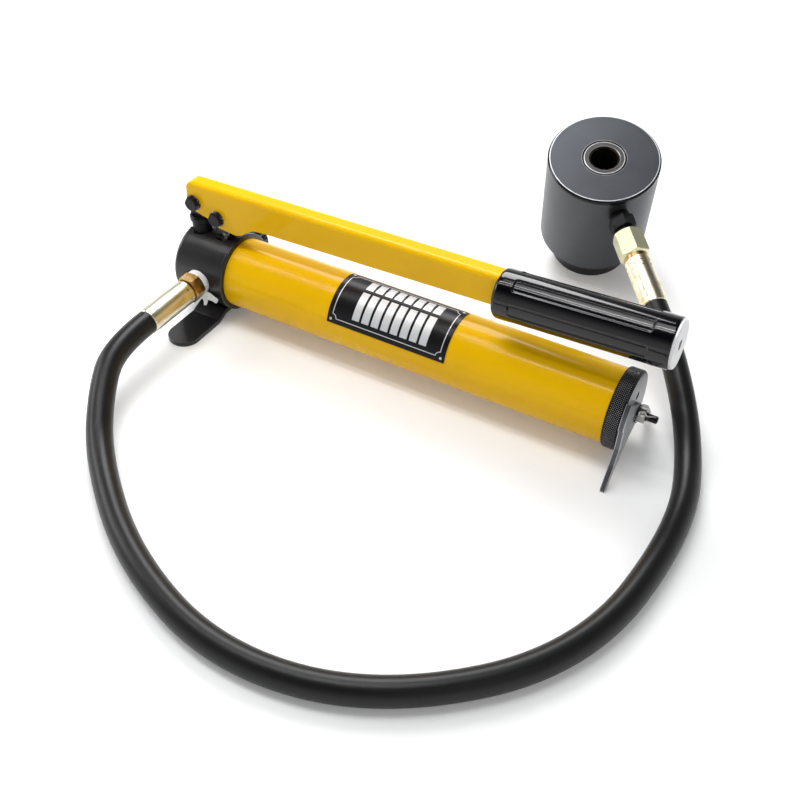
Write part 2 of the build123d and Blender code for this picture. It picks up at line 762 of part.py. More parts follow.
def release_ball():
    rest = VALVE_SEAT_Y + sqrt(BALL_R**2 - WAY_R**2) + BALL_LIFT
    return Pos(VALVE_X, rest, 0) * Sphere(BALL_R)


def release_spindle():
    return along_y(VALVE_BORE_R - RUNNING, SPINDLE_LOW_Y, KNOB_HIGH_Y, VALVE_X)


def release_knob():
    body = turned_z(
        (
            (0, 0),
            (KNOB_R - KNOB_ROUND, 0),
            (KNOB_R, KNOB_ROUND),
            (KNOB_R, KNOB_HIGH_Y - KNOB_LOW_Y - KNOB_ROUND),
            (KNOB_R - KNOB_ROUND, KNOB_HIGH_Y - KNOB_LOW_Y),
            (0, KNOB_HIGH_Y - KNOB_LOW_Y),
        )
    )
    for i in range(KNOB_FLUTES):
        groove = Pos(KNOB_R + EDGE, 0, 0) * along_z(KNOB_FLUTE_R, -1, KNOB_HIGH_Y)
        body -= Rot(0, 0, i * 360 / KNOB_FLUTES) * groove
    knob = toward_far_y(body, KNOB_LOW_Y, VALVE_X)
    return knob - along_y(VALVE_BORE_R - RUNNING, 0, KNOB_HIGH_Y + 1, VALVE_X)


def thread_tape():
    ring = along_y(TAPE_R, TAPE_END_Y, OUTLET_FACE_Y, OUTLET_X)
    ring = fillet(ring.edges().filter_by(GeomType.CIRCLE), EDGE)
    return ring - along_y(OUTLET_THREAD_R - RUNNING, TAPE_END_Y - 1, OUTLET_FACE_Y + 1, OUTLET_X)


def hose_stem_pump():
    thread = along_y(OUTLET_THREAD_R - RUNNING, TAPE_END_Y - 1, OUTLET_THREAD_END_Y, OUTLET_X)
    head = hexagon(STEM_HEX_AF, TAPE_END_Y - STEM_HEX_END_Y, 0)
    stem = thread + toward_near_y(head, TAPE_END_Y, OUTLET_X)
    return stem + along_y(STEM_NECK_R, STEM_NECK_END_Y, STEM_HEX_END_Y + EDGE, OUTLET_X)


def ferrule(length):
    """A pressed hose ferrule from z = 0 up, its mouth rounded."""
    body = along_z(FERRULE_R, 0, length)
    return fillet(body.edges().filter_by(GeomType.CIRCLE), FERRULE_ROUND)


def hose_ferrule_pump():
    length = STEM_NECK_END_Y - HOSE_START_Y
    return toward_near_y(ferrule(length), STEM_NECK_END_Y, OUTLET_X)


def label_plate():
    low = TUBE_R + SEATING
    face = Polyline(
        (LABEL_FROM_X, 0, low),
        (LABEL_TO_X, 0, low),
        (LABEL_TO_X, 0, low + LABEL_T),
        (LABEL_FROM_X, 0, low + LABEL_T),
        close=True,
    )
    start = Rot(LABEL_FROM_ANGLE, 0, 0) * make_face(face)
    return revolve(start, Axis.X, LABEL_TO_ANGLE - LABEL_FROM_ANGLE)


def out_of_port(shape, start):
    """Lays a shape built up +Z along the port's axis, its foot at start."""
    return Pos(start, 0, PORT_HEIGHT) * Rot(0, 90, 0) * shape


def punch_cylinder():
    body = turned_z(
        (
            (0, BOSS_HEIGHT),
            (PUNCH_R - PUNCH_LOW_EDGE, BOSS_HEIGHT),
            (PUNCH_R, BOSS_HEIGHT + PUNCH_LOW_EDGE),
            (PUNCH_R, PUNCH_HEIGHT - PUNCH_TOP_EDGE),
            (PUNCH_R - PUNCH_TOP_EDGE, PUNCH_HEIGHT),
            (0, PUNCH_HEIGHT),
        )
    )
    body -= along_z(CYLINDER_R + RUNNING, BOSS_HEIGHT - 1, CHAMBER_TOP)
    body -= along_z(PISTON_ROD_R + RUNNING, CHAMBER_TOP - 1, PUNCH_HEIGHT + 1)
    body -= along_z(ROD_SEAL_R, ROD_SEAL_LOW, ROD_SEAL_HIGH)
    top = PUNCH_HEIGHT
    mouth = turned_z(
        (
            (0, top - MOUTH_EDGE),
            (PISTON_ROD_R + RUNNING, top - MOUTH_EDGE),
            (PISTON_ROD_R + RUNNING + MOUTH_EDGE, top),
            (PISTON_ROD_R + RUNNING + MOUTH_EDGE, top + 1),
            (0, top + 1),
        )
    )
    body -= mouth
    body -= out_of_port(along_z(PORT_THREAD_R + RUNNING, 0, PUNCH_R), PORT_INNER)
    body -= out_of_port(along_z(WAY_R, 0, PUNCH_R), CYLINDER_R - PORT_THREAD_R)
    return body


def punch_base():
    plug = turned_z(
        (
            (0, 0),
            (BOSS_R - BOSS_EDGE, 0),
            (BOSS_R, BOSS_EDGE),
            (BOSS_R, BOSS_HEIGHT),
            (CYLINDER_R, BOSS_HEIGHT),
            (CYLINDER_R, PLUG_THREAD_TOP),
            (0, PLUG_THREAD_TOP),
        )
    )
    return plug


def punch_piston():
    piston = turned_z(
        (
            (0, PISTON_LOW),
            (CYLINDER_R - RUNNING, PISTON_LOW),
            (CYLINDER_R - RUNNING, PISTON_SEAL_LOW),
            (PISTON_SEAL_INNER_R, PISTON_SEAL_LOW),
            (PISTON_SEAL_INNER_R, PISTON_SEAL_HIGH),
            (CYLINDER_R - RUNNING, PISTON_SEAL_HIGH),
            (CYLINDER_R - RUNNING, PISTON_TOP),
            (PISTON_ROD_R, PISTON_TOP),
            (PISTON_ROD_R, PUNCH_HEIGHT - PISTON_ROD_EDGE),
            (PISTON_ROD_R - PISTON_ROD_EDGE, PUNCH_HEIGHT),
            (STUD_HOLE_R + STUD_HOLE_EDGE, PUNCH_HEIGHT),
            (STUD_HOLE_R, PUNCH_HEIGHT - STUD_HOLE_EDGE),
            (STUD_HOLE_R, PUNCH_HEIGHT - STUD_HOLE_DEPTH),
            (0, PUNCH_HEIGHT - STUD_HOLE_DEPTH),
        )
    )
    return piston


def piston_seal():
    ring = along_z(CYLINDER_R - RUNNING, PISTON_SEAL_LOW, PISTON_SEAL_HIGH)
    return ring - along_z(PISTON_SEAL_INNER_R, 0, PUNCH_HEIGHT)


def rod_seal():
    ring = along_z(ROD_SEAL_R, ROD_SEAL_LOW, ROD_SEAL_HIGH)
    return ring - along_z(PISTON_ROD_R + RUNNING, 0, PUNCH_HEIGHT)


def return_spring():
    low = PLUG_THREAD_TOP + SPRING_WIRE_R + RUNNING
    height = PISTON_LOW - RUNNING - SPRING_WIRE_R - low
    coil = Helix(height / SPRING_TURNS, height, SPRING_R)
    wire = sweep(Plane(origin=coil @ 0, z_dir=coil % 0) * Circle(SPRING_WIRE_R), path=coil)
    return Pos(0, 0, low) * wire


def port_adapter():
    body = along_z(PORT_THREAD_R, 0, PORT_NECK_END - PORT_INNER)
    hexed = hexagon(PORT_HEX_AF, PORT_HEX_END - PORT_NECK_END, 0)
    body += Pos(0, 0, PORT_NECK_END - PORT_INNER) * hexed
    body += along_z(PORT_CONE_R, PORT_HEX_END - PORT_INNER - EDGE, PORT_CONE_END - PORT_INNER)
    return out_of_port(body, PORT_INNER)


def swivel_nut():
    length = SWIVEL_TO - SWIVEL_FROM
    body = hexagon(SWIVEL_AF, length, SWIVEL_CHAMFER)
    body += along_z(SWIVEL_NECK_R, length - EDGE, SWIVEL_NECK_TO - SWIVEL_FROM)
    body -= along_z(PORT_CONE_R + RUNNING, -1, PORT_CONE_END - SWIVEL_FROM)
    return out_of_port(body, SWIVEL_FROM)


def hose_ferrule_punch():
    return out_of_port(ferrule(HOSE_END - SWIVEL_NECK_TO), SWIVEL_NECK_TO)


def hose_points():
    """The route in the part's own frame; the last run meets the punch head's ferrule squarely."""
    points = [Vector(x + PUMP_X, y + PUMP_Y, z) for x, y, z in HOSE_ROUTE]
    mouth = PUNCH.from_local_coords(Vector(HOSE_END, 0, PORT_HEIGHT))
    before = PUNCH.from_local_coords(Vector(HOSE_END + HOSE_LAST_RUN, 0, PORT_HEIGHT))
    return [*points, before, mouth]


def bend_radii(points):
    radii = []
    for before, here, after in zip(points, points[1:], points[2:]):
        run_in = here - before
        run_out = after - here
        turn = radians(run_in.get_angle(run_out))
        radii.append(BEND_SHARE * min(run_in.length, run_out.length) / tan(turn / 2))
    return radii


def hose():
    points = hose_points()
    radii = bend_radii(points)
    path = FilletPolyline(*points, radius=radii)
    print("hose bends", [round(r, 1) for r in radii], "length", round(path.length, 1))
    start = Plane(origin=path @ 0, z_dir=path % 0)
    tube = sweep(start * Circle(HOSE_R), path=path)
    print("hose volume over section by length", round(tube.volume / (pi * HOSE_R**2 * path.length), 4))
    return tube


def punch_lean():
    return degrees(LEAN)


def as_compound(shapes):
    if isinstance(shapes, list):
        return Compound(children=[Part() + s for s in shapes])
    return shapes


PUMP_PIECES = (
    pump_head,
    reservoir_tube,
    end_cap,
    tube_seals,
    tie_rod,
    tie_washer,
    tie_nut,
    rear_foot,
    front_foot,
    foot_screws,
    fulcrum_post,
    gland_nut,
    plunger_packing,
    plunger,
    handle_lever,
    handle_grip,
    grip_end_disc,
    pivot_bolts,
    pivot_washers,
    pivot_nuts,
    suction_ball,
    release_ball,
    release_spindle,
    release_knob,
    thread_tape,
    hose_stem_pump,
    hose_ferrule_pump,
    label_plate,
)
PUNCH_PIECES = (
    punch_cylinder,
    punch_base,
    punch_piston,
    piston_seal,
    rod_seal,
    return_spring,
    port_adapter,
    swivel_nut,
    hose_ferrule_punch,
)


def save(name, shapes):
    export_step(as_compound(shapes), f"parts/{name}.step")


def moved(shapes, place):
    if isinstance(shapes, list):
        return [place(s) for s in shapes]
    return place(shapes)


print("punch head leans", round(punch_lean(), 2), "degrees, base centre height", round(PUNCH_Z, 3))
for piece in PUMP_PIECES:
    save(piece.__name__, moved(piece(), in_pump))
for piece in PUNCH_PIECES:
    save(piece.__name__, moved(piece(), in_punch))
save("hose", hose())
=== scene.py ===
# %% [markdown]
# # A hydraulic hole punch, finished in Blender
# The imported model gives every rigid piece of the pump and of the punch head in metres.
# This lesson adds what a workshop would add: paint, oxide, zinc, rubber, a real hose, knurling and threads.

# %% Load the frame
import math

import bmesh
import bpy
from mathutils import Matrix, Vector


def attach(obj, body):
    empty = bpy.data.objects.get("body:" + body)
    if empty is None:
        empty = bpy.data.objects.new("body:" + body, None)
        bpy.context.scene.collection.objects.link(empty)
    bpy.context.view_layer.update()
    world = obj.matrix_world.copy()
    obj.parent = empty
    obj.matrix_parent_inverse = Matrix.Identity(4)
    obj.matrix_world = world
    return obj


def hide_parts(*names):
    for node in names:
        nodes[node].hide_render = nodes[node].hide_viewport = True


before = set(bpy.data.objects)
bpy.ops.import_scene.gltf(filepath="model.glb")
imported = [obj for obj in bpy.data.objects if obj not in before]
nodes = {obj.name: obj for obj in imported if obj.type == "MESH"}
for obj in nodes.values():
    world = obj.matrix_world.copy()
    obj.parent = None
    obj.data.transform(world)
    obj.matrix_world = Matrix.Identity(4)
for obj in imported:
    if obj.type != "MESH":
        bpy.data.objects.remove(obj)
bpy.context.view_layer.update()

# %% [markdown]
# The camera stands where the photographer stood: low enough to see the side of the tube, high enough to see
# the top of the punch head. Its place could be found by trial, but three angles and a focal length that agree
# with many points of the object leave nothing to taste.

# %% Camera
CAMERA_PLACE = Vector((0.23381, -0.50848, 0.41065))
CAMERA_YAW = math.radians(28.72)
CAMERA_DOWN = math.radians(41.56)
CAMERA_ROLL = math.radians(1.33)
CAMERA_LENS = 46.03


def camera_turn(yaw, down, roll):
    """Columns are the camera's right, up and back directions."""
    back = Vector((math.sin(yaw) * math.cos(down), -math.cos(yaw) * math.cos(down), math.sin(down)))
    right = Vector((math.cos(yaw), math.sin(yaw), 0))
    up = back.cross(right)
    turned_right = right * math.cos(roll) + up * math.sin(roll)
    turned_up = up * math.cos(roll) - right * math.sin(roll)
    return Matrix((turned_right, turned_up, back)).transposed()


camera_data = bpy.data.cameras.new("view")
camera_data.lens = CAMERA_LENS
camera = bpy.data.objects.new("view", camera_data)
bpy.context.scene.collection.objects.link(camera)
camera_turned = camera_turn(CAMERA_YAW, CAMERA_DOWN, CAMERA_ROLL).to_4x4()
camera.matrix_world = Matrix.Translation(CAMERA_PLACE) @ camera_turned
bpy.context.scene.camera = camera
print("camera", [round(c, 4) for c in camera.matrix_world.translation], "lens", CAMERA_LENS)

# %% [markdown]
# Two sets of directions serve every later step. The pump's axis lies along X, a little above the floor. The
# punch head leans on the edge of its boss, so its own axes are kept here: up the bore, out of the oil port,
# and across both.

# %% Directions of the two halves
PUMP_CENTRE = Vector((-0.1217, -0.0738, 0.0296))
OUTLET_CENTRE = PUMP_CENTRE + Vector((-0.019, 0, 0))
PUNCH_FOOT = Vector((0.05025, 0.10406, 0.009716))
PUNCH_UP = Vector((0.1089, -0.3467, 0.9316)).normalized()
PORT_OUT = Vector((0.642, -0.691, -0.332))
PORT_OUT = (PORT_OUT - PUNCH_UP * PORT_OUT.dot(PUNCH_UP)).normalized()
PUNCH_SIDE = PUNCH_UP.cross(PORT_OUT)
PORT_HEIGHT = 0.0775
HOSE_END = 0.1055


def in_punch(out, side, up):
    """A point given in the punch head's own axes."""
    return PUNCH_FOOT + PORT_OUT * out + PUNCH_SIDE * side + PUNCH_UP * up


print("port mouth", [round(c, 4) for c in in_punch(HOSE_END, 0, PORT_HEIGHT)])

# %% [markdown]
# The hose is one length of rubber that leaves the pump's ferrule level, sinks to the floor, runs round in a
# wide loop and climbs into the punch head's ferrule. It could be a swept mesh, but a NURBS curve with a round
# bevel keeps its line smooth at every point and can be measured. Blender takes a curve's box from its points
# and their radius, so the points carry the tube's radius and the bevel is one: the box then fits the tube.

# %% Hose
HOSE_RADIUS = 0.0075
HOSE_EXIT = (-0.1407, -0.1481, 0.0296)
HOSE_LAST_RUN = 0.03363
HOSE_POINTS = [
    Vector(HOSE_EXIT),
    Vector((-0.1407, -0.1779, 0.0296)),
    Vector((-0.1285, -0.2044, 0.0224)),
    Vector((-0.1055, -0.2365, 0.0075)),
    Vector((-0.0439, -0.2836, 0.0075)),
    Vector((0.0312, -0.3089, 0.0075)),
    Vector((0.1084, -0.2908, 0.0075)),
    Vector((0.1782, -0.2240, 0.0075)),
    Vector((0.1925, -0.1235, 0.0075)),
    Vector((0.1772, -0.0592, 0.0075)),
    in_punch(HOSE_END + HOSE_LAST_RUN, 0, PORT_HEIGHT),
    in_punch(HOSE_END, 0, PORT_HEIGHT),
]


def nurbs_tube(name, points, radius):
    """A round tube along one open NURBS spline."""
    line = bpy.data.curves.new(name, "CURVE")
    line.dimensions = "3D"
    line.bevel_depth = 1.0
    line.bevel_resolution = 10
    line.resolution_u = 24
    line.use_fill_caps = True
    spline = line.splines.new("NURBS")
    spline.points.add(len(points) - 1)
    for point, place in zip(spline.points, points):
        point.co = (*place, 1)
        point.radius = radius
    spline.order_u = 3
    spline.use_endpoint_u = True
    tube = bpy.data.objects.new(name, line)
    bpy.context.scene.collection.objects.link(tube)
    return tube


hose = nurbs_tube("oil_hose", HOSE_POINTS, HOSE_RADIUS)
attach(hose, "pump_and_head")
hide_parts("hose")
print("hose with", len(HOSE_POINTS), "control points")

# %% [markdown]
# Shader nodes read best as arithmetic. A small class wraps a socket, so that `1 - mask` or `height * 0.4`
# adds the Math nodes by itself, and a finish makes every other kind of node with one method.

# %% A socket that can be calculated with
class Signal:
    """A shader socket: it is added, scaled and raised with the usual operators."""

    def __init__(self, finish, socket):
        self.finish = finish
        self.socket = socket

    def math(self, operation, *values):
        return self.finish.node("ShaderNodeMath", {"operation": operation}, dict(enumerate(values)))

    def __add__(self, other):
        return self.math("ADD", self, other)

    def __radd__(self, other):
        return self.math("ADD", other, self)

    def __sub__(self, other):
        return self.math("SUBTRACT", self, other)

    def __rsub__(self, other):
        return self.math("SUBTRACT", other, self)

    def __mul__(self, other):
        return self.math("MULTIPLY", self, other)

    def __rmul__(self, other):
        return self.math("MULTIPLY", other, self)

    def __pow__(self, other):
        return self.math("POWER", self, other)

    def __abs__(self):
        return self.math("ABSOLUTE", self)


print("signals can be added, scaled and raised to a power")


# %% A finish that makes nodes
class Finish:
    """One material, with its Principled shader and a short way to make and join nodes."""

    def __init__(self, name, **constants):
        self.material = bpy.data.materials.new(name)
        self.material.use_nodes = True
        self.tree = self.material.node_tree
        self.shader = self.tree.nodes["Principled BSDF"]
        self.set(**constants)

    def feed(self, socket, value):
        if isinstance(value, Signal):
            self.tree.links.new(value.socket, socket)
        else:
            socket.default_value = value

    def set(self, **values):
        """Base_Color=..., Coat_Weight=...: an underscore stands for the space in a socket's name."""
        for name, value in values.items():
            self.feed(self.shader.inputs[name.replace("_", " ")], value)

    def node(self, kind, settings=None, inputs=None, output=0):
        made = self.tree.nodes.new(kind)
        for name, value in (settings or {}).items():
            setattr(made, name, value)
        for name, value in (inputs or {}).items():
            self.feed(made.inputs[name], value)
        return Signal(self, made.outputs[output])

    def mix(self, factor, low, high):
        """A colour between two colours."""
        return self.node("ShaderNodeMix", {"data_type": "RGBA"}, {0: factor, 6: low, 7: high}, 2)

    def step(self, value, low, high):
        """0 below low, 1 above high, smooth between."""
        return self.node(
            "ShaderNodeMapRange",
            {"interpolation_type": "SMOOTHSTEP"},
            {"Value": value, "From Min": low, "From Max": high},
        )

    def band(self, value, low, high, soft):
        """1 between low and high."""
        return self.step(value, low - soft, low + soft) * (1 - self.step(value, high - soft, high + soft))

    def place(self):
        return self.node("ShaderNodeTexCoord", output="Object")

    def ray(self, kind):
        """1 for rays of one kind: Camera, Glossy or Transmission."""
        return self.node("ShaderNodeLightPath", output=f"Is {kind} Ray")

    def along(self, origin, direction):
        """How far a point of the surface lies from origin in a direction, in millimetres."""
        offset = self.node("ShaderNodeVectorMath", {"operation": "SUBTRACT"}, {0: self.place(), 1: origin})
        inputs = {0: offset, 1: tuple(1000 * c for c in direction)}
        return self.node("ShaderNodeVectorMath", {"operation": "DOT_PRODUCT"}, inputs, "Value")

    def from_axis(self, origin, one, other):
        """How far a point lies from an axis through origin, given two directions square to it."""
        a = self.along(origin, one)
        b = self.along(origin, other)
        return (a * a + b * b) ** 0.5

    def most(self, one, other):
        return self.node("ShaderNodeMath", {"operation": "MAXIMUM"}, {0: one, 1: other})

    def turn(self, up, right):
        """The angle of a point round an axis, from its two distances."""
        return self.node("ShaderNodeMath", {"operation": "ARCTAN2"}, {0: up, 1: right})

    def noise(self, scale, detail=2.0, roughness=0.5, stretch=(1, 1, 1)):
        """Cloudy noise, in lumps per millimetre, drawn out by stretch."""
        size = tuple(1000 * scale * s for s in stretch)
        at = self.node("ShaderNodeVectorMath", {"operation": "MULTIPLY"}, {0: self.place(), 1: size})
        inputs = {"Vector": at, "Scale": 1.0, "Detail": detail, "Roughness": roughness}
        return self.node("ShaderNodeTexNoise", {"normalize": True}, inputs, "Fac")

    def lines(self, run, detail=3.0):
        """Noise that changes only with run, such as the rings left by a lathe."""
        inputs = {"W": run, "Scale": 1.0, "Detail": detail}
        return self.node("ShaderNodeTexNoise", {"noise_dimensions": "1D"}, inputs, "Fac")

    def bump(self, height, millimetres, strength=1.0):
        """Turns a height from 0 to 1 into a normal."""
        inputs = {"Height": height, "Distance": millimetres / 1000, "Strength": strength}
        return self.node("ShaderNodeBump", None, inputs)


X, Y, Z = Vector((1, 0, 0)), Vector((0, 1, 0)), Vector((0, 0, 1))
print("finishes are built from signals")

# %% [markdown]
# The tube and the lever are sprayed the same glossy yellow. The real coat is not flat: it pools a little
# darker, has a fine orange peel in its shine, and carries hairline scratches and grime. Noise at several
# scales does this.

# %% Yellow paint
def yellow_paint(name):
    paint = Finish(name, Coat_Weight=0.22, Coat_Roughness=0.03, Specular_IOR_Level=0.06)
    cloud = paint.noise(0.02, 3)
    base = paint.mix(cloud, (0.90, 0.53, 0.001, 1), (0.80, 0.44, 0.0005, 1))
    hairs = paint.step(paint.noise(0.9, 2, 0.6, (0.05, 1.4, 1.4)), 0.72, 0.76)
    grime = paint.step(paint.noise(0.12, 5, 0.65), 0.64, 0.82)
    base = paint.mix(grime * 0.22, base, (0.52, 0.29, 0.01, 1))
    base = paint.mix(hairs * 0.3, base, (0.95, 0.76, 0.22, 1))
    paint.set(Base_Color=base, Roughness=0.24 + 0.1 * cloud + 0.15 * hairs + 0.12 * grime)
    peel = paint.noise(0.35, 2) * 0.8 + paint.noise(1.6, 2) * 0.2
    paint.set(Normal=paint.bump(peel - 0.3 * hairs, 0.02, 0.4))
    return paint.material


def cover(material, *names):
    """Gives CAD nodes a new material in every slot."""
    for name in names:
        slots = nodes[name].data.materials
        for i in range(len(slots)):
            slots[i] = material
        if not len(slots):
            slots.append(material)


cover(yellow_paint("yellow_gloss_paint"), "reservoir_tube", "handle_lever")
print("yellow on tube and lever")

# %% [markdown]
# The pump head is an iron casting under satin black paint, and so is the bent foot strap. Castings have a
# broad, soft unevenness, and handling polishes them in patches and leaves dust in others.

# %% Satin black paint
def satin_black(name):
    paint = Finish(name, Coat_Weight=0.45, Coat_Roughness=0.26, Specular_IOR_Level=0.25)
    lumps = paint.noise(0.06, 3)
    dust = paint.step(paint.noise(0.8, 6, 0.7), 0.62, 0.8)
    base = paint.mix(lumps, (0.006, 0.006, 0.007, 1), (0.014, 0.014, 0.015, 1))
    paint.set(Base_Color=paint.mix(dust * 0.35, base, (0.09, 0.09, 0.09, 1)))
    paint.set(Roughness=0.27 + 0.16 * lumps + 0.2 * dust)
    skin = 0.7 * paint.noise(0.18, 3) + 0.3 * paint.noise(1.6, 3)
    paint.set(Normal=paint.bump(skin, 0.12, 0.5))
    return paint.material


cover(satin_black("satin_black_paint"), "pump_head", "front_foot")
print("black on casting and strap")

# %% [markdown]
# Bolts, washers, the fulcrum post and the tie rod are blackened steel. Tools and hands leave fine scratches,
# and the black wears to grey in patches, so the finish mixes the two colours by a scratchy noise.

# %% Blackened steel
def blackened_steel(name, dark, worn, wear, shine=0.3):
    steel = Finish(name, Specular_IOR_Level=0.25)
    scratch = steel.noise(1.8, 4, 0.7, (1, 0.3, 1.6))
    patch = steel.noise(0.25, 4)
    rubbed = steel.step(scratch * 0.5 + patch * 0.5, 0.66 - wear, 0.74 - wear)
    steel.set(Base_Color=steel.mix(rubbed, dark, worn))
    steel.set(Metallic=0.55 + 0.4 * rubbed, Roughness=shine + 0.25 * patch)
    steel.set(Normal=steel.bump(scratch, 0.03, 0.5))
    return steel.material


bolt_black = blackened_steel("bolt_black", (0.015, 0.015, 0.017, 1), (0.3, 0.3, 0.31, 1), 0.07, 0.2)
post_black = blackened_steel("post_black", (0.014, 0.014, 0.016, 1), (0.1, 0.1, 0.105, 1), 0.02)
gland_black = blackened_steel("gland_black", (0.025, 0.024, 0.024, 1), (0.5, 0.49, 0.47, 1), 0.12, 0.15)
washer_black = blackened_steel("washer_black", (0.04, 0.04, 0.042, 1), (0.6, 0.6, 0.61, 1), 0.16, 0.12)
cover(bolt_black, "pivot_bolts", "pivot_nuts", "foot_screws", "tie_rod", "return_spring")
cover(washer_black, "pivot_washers", "tie_washer")
cover(gland_black, "gland_nut", "plunger")
cover(post_black, "fulcrum_post")
print("blackened bolts, gland and post")

# %% Ground and plated steel
def bright_steel(name):
    steel = Finish(name, Metallic=1.0)
    grind = steel.noise(2.5, 3, 0.6, (1, 1, 0.2))
    film = steel.noise(0.3, 4)
    steel.set(Base_Color=steel.mix(film, (0.62, 0.61, 0.59, 1), (0.42, 0.41, 0.39, 1)))
    steel.set(Roughness=0.16 + 0.2 * grind + 0.1 * film, Normal=steel.bump(grind, 0.02, 0.5))
    return steel.material


ground = bright_steel("ground_steel")
cover(ground, "tie_nut", "suction_ball", "release_ball", "release_spindle")
print("bright steel on the nut, the balls and the spindle")

# %% [markdown]
# The punch head is turned from one thick bar and blackened. Seen from above it is mid grey with very fine
# specks, and turning marks run round the side. Its top edge and the ring round the rod are worn bright and
# carry a painted highlight, and a painted dark band under the top edge stands for the chamfer's dark
# reflection. Its own axes say what is top, side and edge, so the marks follow the leaning head.

# %% Black oxide on the punch head
PUNCH_TOP_MM = 92.5
PUNCH_RADIUS_MM = 36.0
PUNCH_CHAMFER_MM = 1.1
PUNCH_SHADE_BAND_MM = 3.0
ROD_RADIUS_MM = 13.4
EDGE_WEAR_AND_HIGHLIGHT = (0.75, 0.76, 0.78, 1)


def oxide(name, tone, rough):
    steel = Finish(name)
    up = steel.along(PUNCH_FOOT, PUNCH_UP)
    radius = steel.from_axis(PUNCH_FOOT, PORT_OUT, PUNCH_SIDE)
    on_top = steel.step(up, PUNCH_TOP_MM - 0.25, PUNCH_TOP_MM - 0.1)
    specks = steel.noise(1.9, 6, 0.8)
    stain = steel.noise(0.05, 4, 0.6)
    dark = tuple(0.6 * t for t in tone) + (1,)
    light = tuple(1.35 * t for t in tone) + (1,)
    base = steel.mix(0.55 * specks + 0.45 * stain, dark, light)
    flecks = steel.step(specks, 0.65, 0.74)
    base = steel.mix(flecks * (0.12 + 0.3 * on_top), base, (0.3, 0.3, 0.31, 1))
    # painted shade: a dark band down the side from the top edge, standing for the chamfer's dark reflection
    chamfer_shade_from = PUNCH_TOP_MM - PUNCH_SHADE_BAND_MM
    corner_shade_and_highlight = steel.step(up, chamfer_shade_from, chamfer_shade_from + 0.5) * (1 - on_top)
    base = steel.mix(corner_shade_and_highlight * 0.85, base, (0.004, 0.005, 0.008, 1))
    # painted highlight, partly worn bright steel: thin bright rings at the top edge and round the rod's mouth
    rim_from = PUNCH_RADIUS_MM - PUNCH_CHAMFER_MM
    rim_highlight = steel.band(radius, rim_from - 0.55, rim_from - 0.05, 0.08) * on_top
    mouth_highlight_and_shade = steel.band(radius, ROD_RADIUS_MM + 0.9, ROD_RADIUS_MM + 1.1, 0.06) * on_top * 0.5
    base = steel.mix(steel.most(rim_highlight, mouth_highlight_and_shade) * 0.9, base, EDGE_WEAR_AND_HIGHLIGHT)
    rings = steel.lines(radius * on_top * 2.4 + up * 1.9)
    steel.set(Base_Color=base, Metallic=0.7)
    steel.set(Roughness=rough + 0.14 * stain + 0.1 * specks - 0.15 * corner_shade_and_highlight)
    steel.set(Normal=steel.bump(0.6 * rings + 0.4 * specks, 0.03, 0.5))
    return steel.material


cover(oxide("head_oxide", (0.066, 0.070, 0.081), 0.24), "punch_cylinder")
cover(oxide("boss_oxide", (0.03, 0.03, 0.033), 0.3), "punch_base")
cover(oxide("adapter_oxide", (0.012, 0.012, 0.014), 0.12), "port_adapter")
print("oxide on the punch head")

# %% [markdown]
# The piston's ring shows in the middle of the head, with the draw stud's thread inside. Its end is dark, with
# a painted highlight at both edges, and the bore is coloured nearly black. The thread itself is made later as
# real geometry.

# %% Piston steel
def piston_steel(name):
    steel = Finish(name)
    up = steel.along(PUNCH_FOOT, PUNCH_UP)
    radius = steel.from_axis(PUNCH_FOOT, PORT_OUT, PUNCH_SIDE)
    # darker inside the bore
    inner = 1 - steel.step(radius, 9.5, 10.0)
    cloud = steel.noise(0.4, 4)
    face = steel.mix(cloud, (0.085, 0.085, 0.09, 1), (0.04, 0.04, 0.043, 1))
    # painted highlights: a thin bright ring at the end's outer edge and a fainter one at its inner lip
    outer_edge_highlight = steel.band(radius, 12.6, 13.15, 0.12)
    lip_highlight = steel.band(radius, 9.75, 10.25, 0.15) * 0.5
    face = steel.mix(steel.most(outer_edge_highlight, lip_highlight) * 0.9, face, (0.72, 0.70, 0.68, 1))
    bore_dark = steel.mix(cloud, (0.014, 0.012, 0.011, 1), (0.05, 0.04, 0.035, 1))
    rings = steel.lines(radius * 4 + up * 3, 2.0)
    steel.set(Base_Color=steel.mix(inner, face, bore_dark), Metallic=0.75, Roughness=0.28 + 0.2 * cloud)
    steel.set(Normal=steel.bump(rings, 0.03, 0.5))
    return steel.material


cover(piston_steel("piston_steel"), "punch_piston")
print("piston with bright edges and oily bore")

# %% [markdown]
# Hexes, nut and ferrules are steel in yellow zinc: a thin pale gold film that drifts to green and brown. Each
# ferrule is squeezed by eight dies, which leaves soft flats along it and small dark ticks near its mouth.

# %% Yellow zinc
PALE_ZINC = (0.86, 0.80, 0.58, 1)
GREEN_ZINC = (0.66, 0.66, 0.45, 1)
OLIVE_ZINC = (0.80, 0.77, 0.60, 1)
GOLD_ZINC = (0.62, 0.42, 0.17, 1)
BROWN_ZINC = (0.34, 0.19, 0.06, 1)
FERRULE_DIES = 8
TICK_HALF_MM = 0.35


def zinc_base(zinc, light, deep, gold):
    """The film's drifting colour, and the fine grain that goes with it."""
    drift = zinc.noise(0.11, 4, 0.6)
    fine = zinc.noise(1.2, 4, 0.7)
    film = zinc.mix(zinc.step(drift + 0.25 * fine, 0.72 - gold, 0.98 - gold), light, deep)
    return film, drift, fine


def hex_zinc(name, light, deep, gold, origin, axis, neck_from):
    """A hexagon's film, with the browner neck that starts at neck_from along its axis."""
    zinc = Finish(name, Metallic=1.0)
    film, drift, fine = zinc_base(zinc, light, deep, gold)
    run = zinc.along(origin, axis)
    film = zinc.mix(zinc.step(run, neck_from - 0.2, neck_from + 0.2) * 0.85, film, BROWN_ZINC)
    zinc.set(Base_Color=film, Roughness=0.16 + 0.16 * fine + 0.1 * drift)
    zinc.set(Normal=zinc.bump(fine, 0.02, 0.5))
    return zinc.material


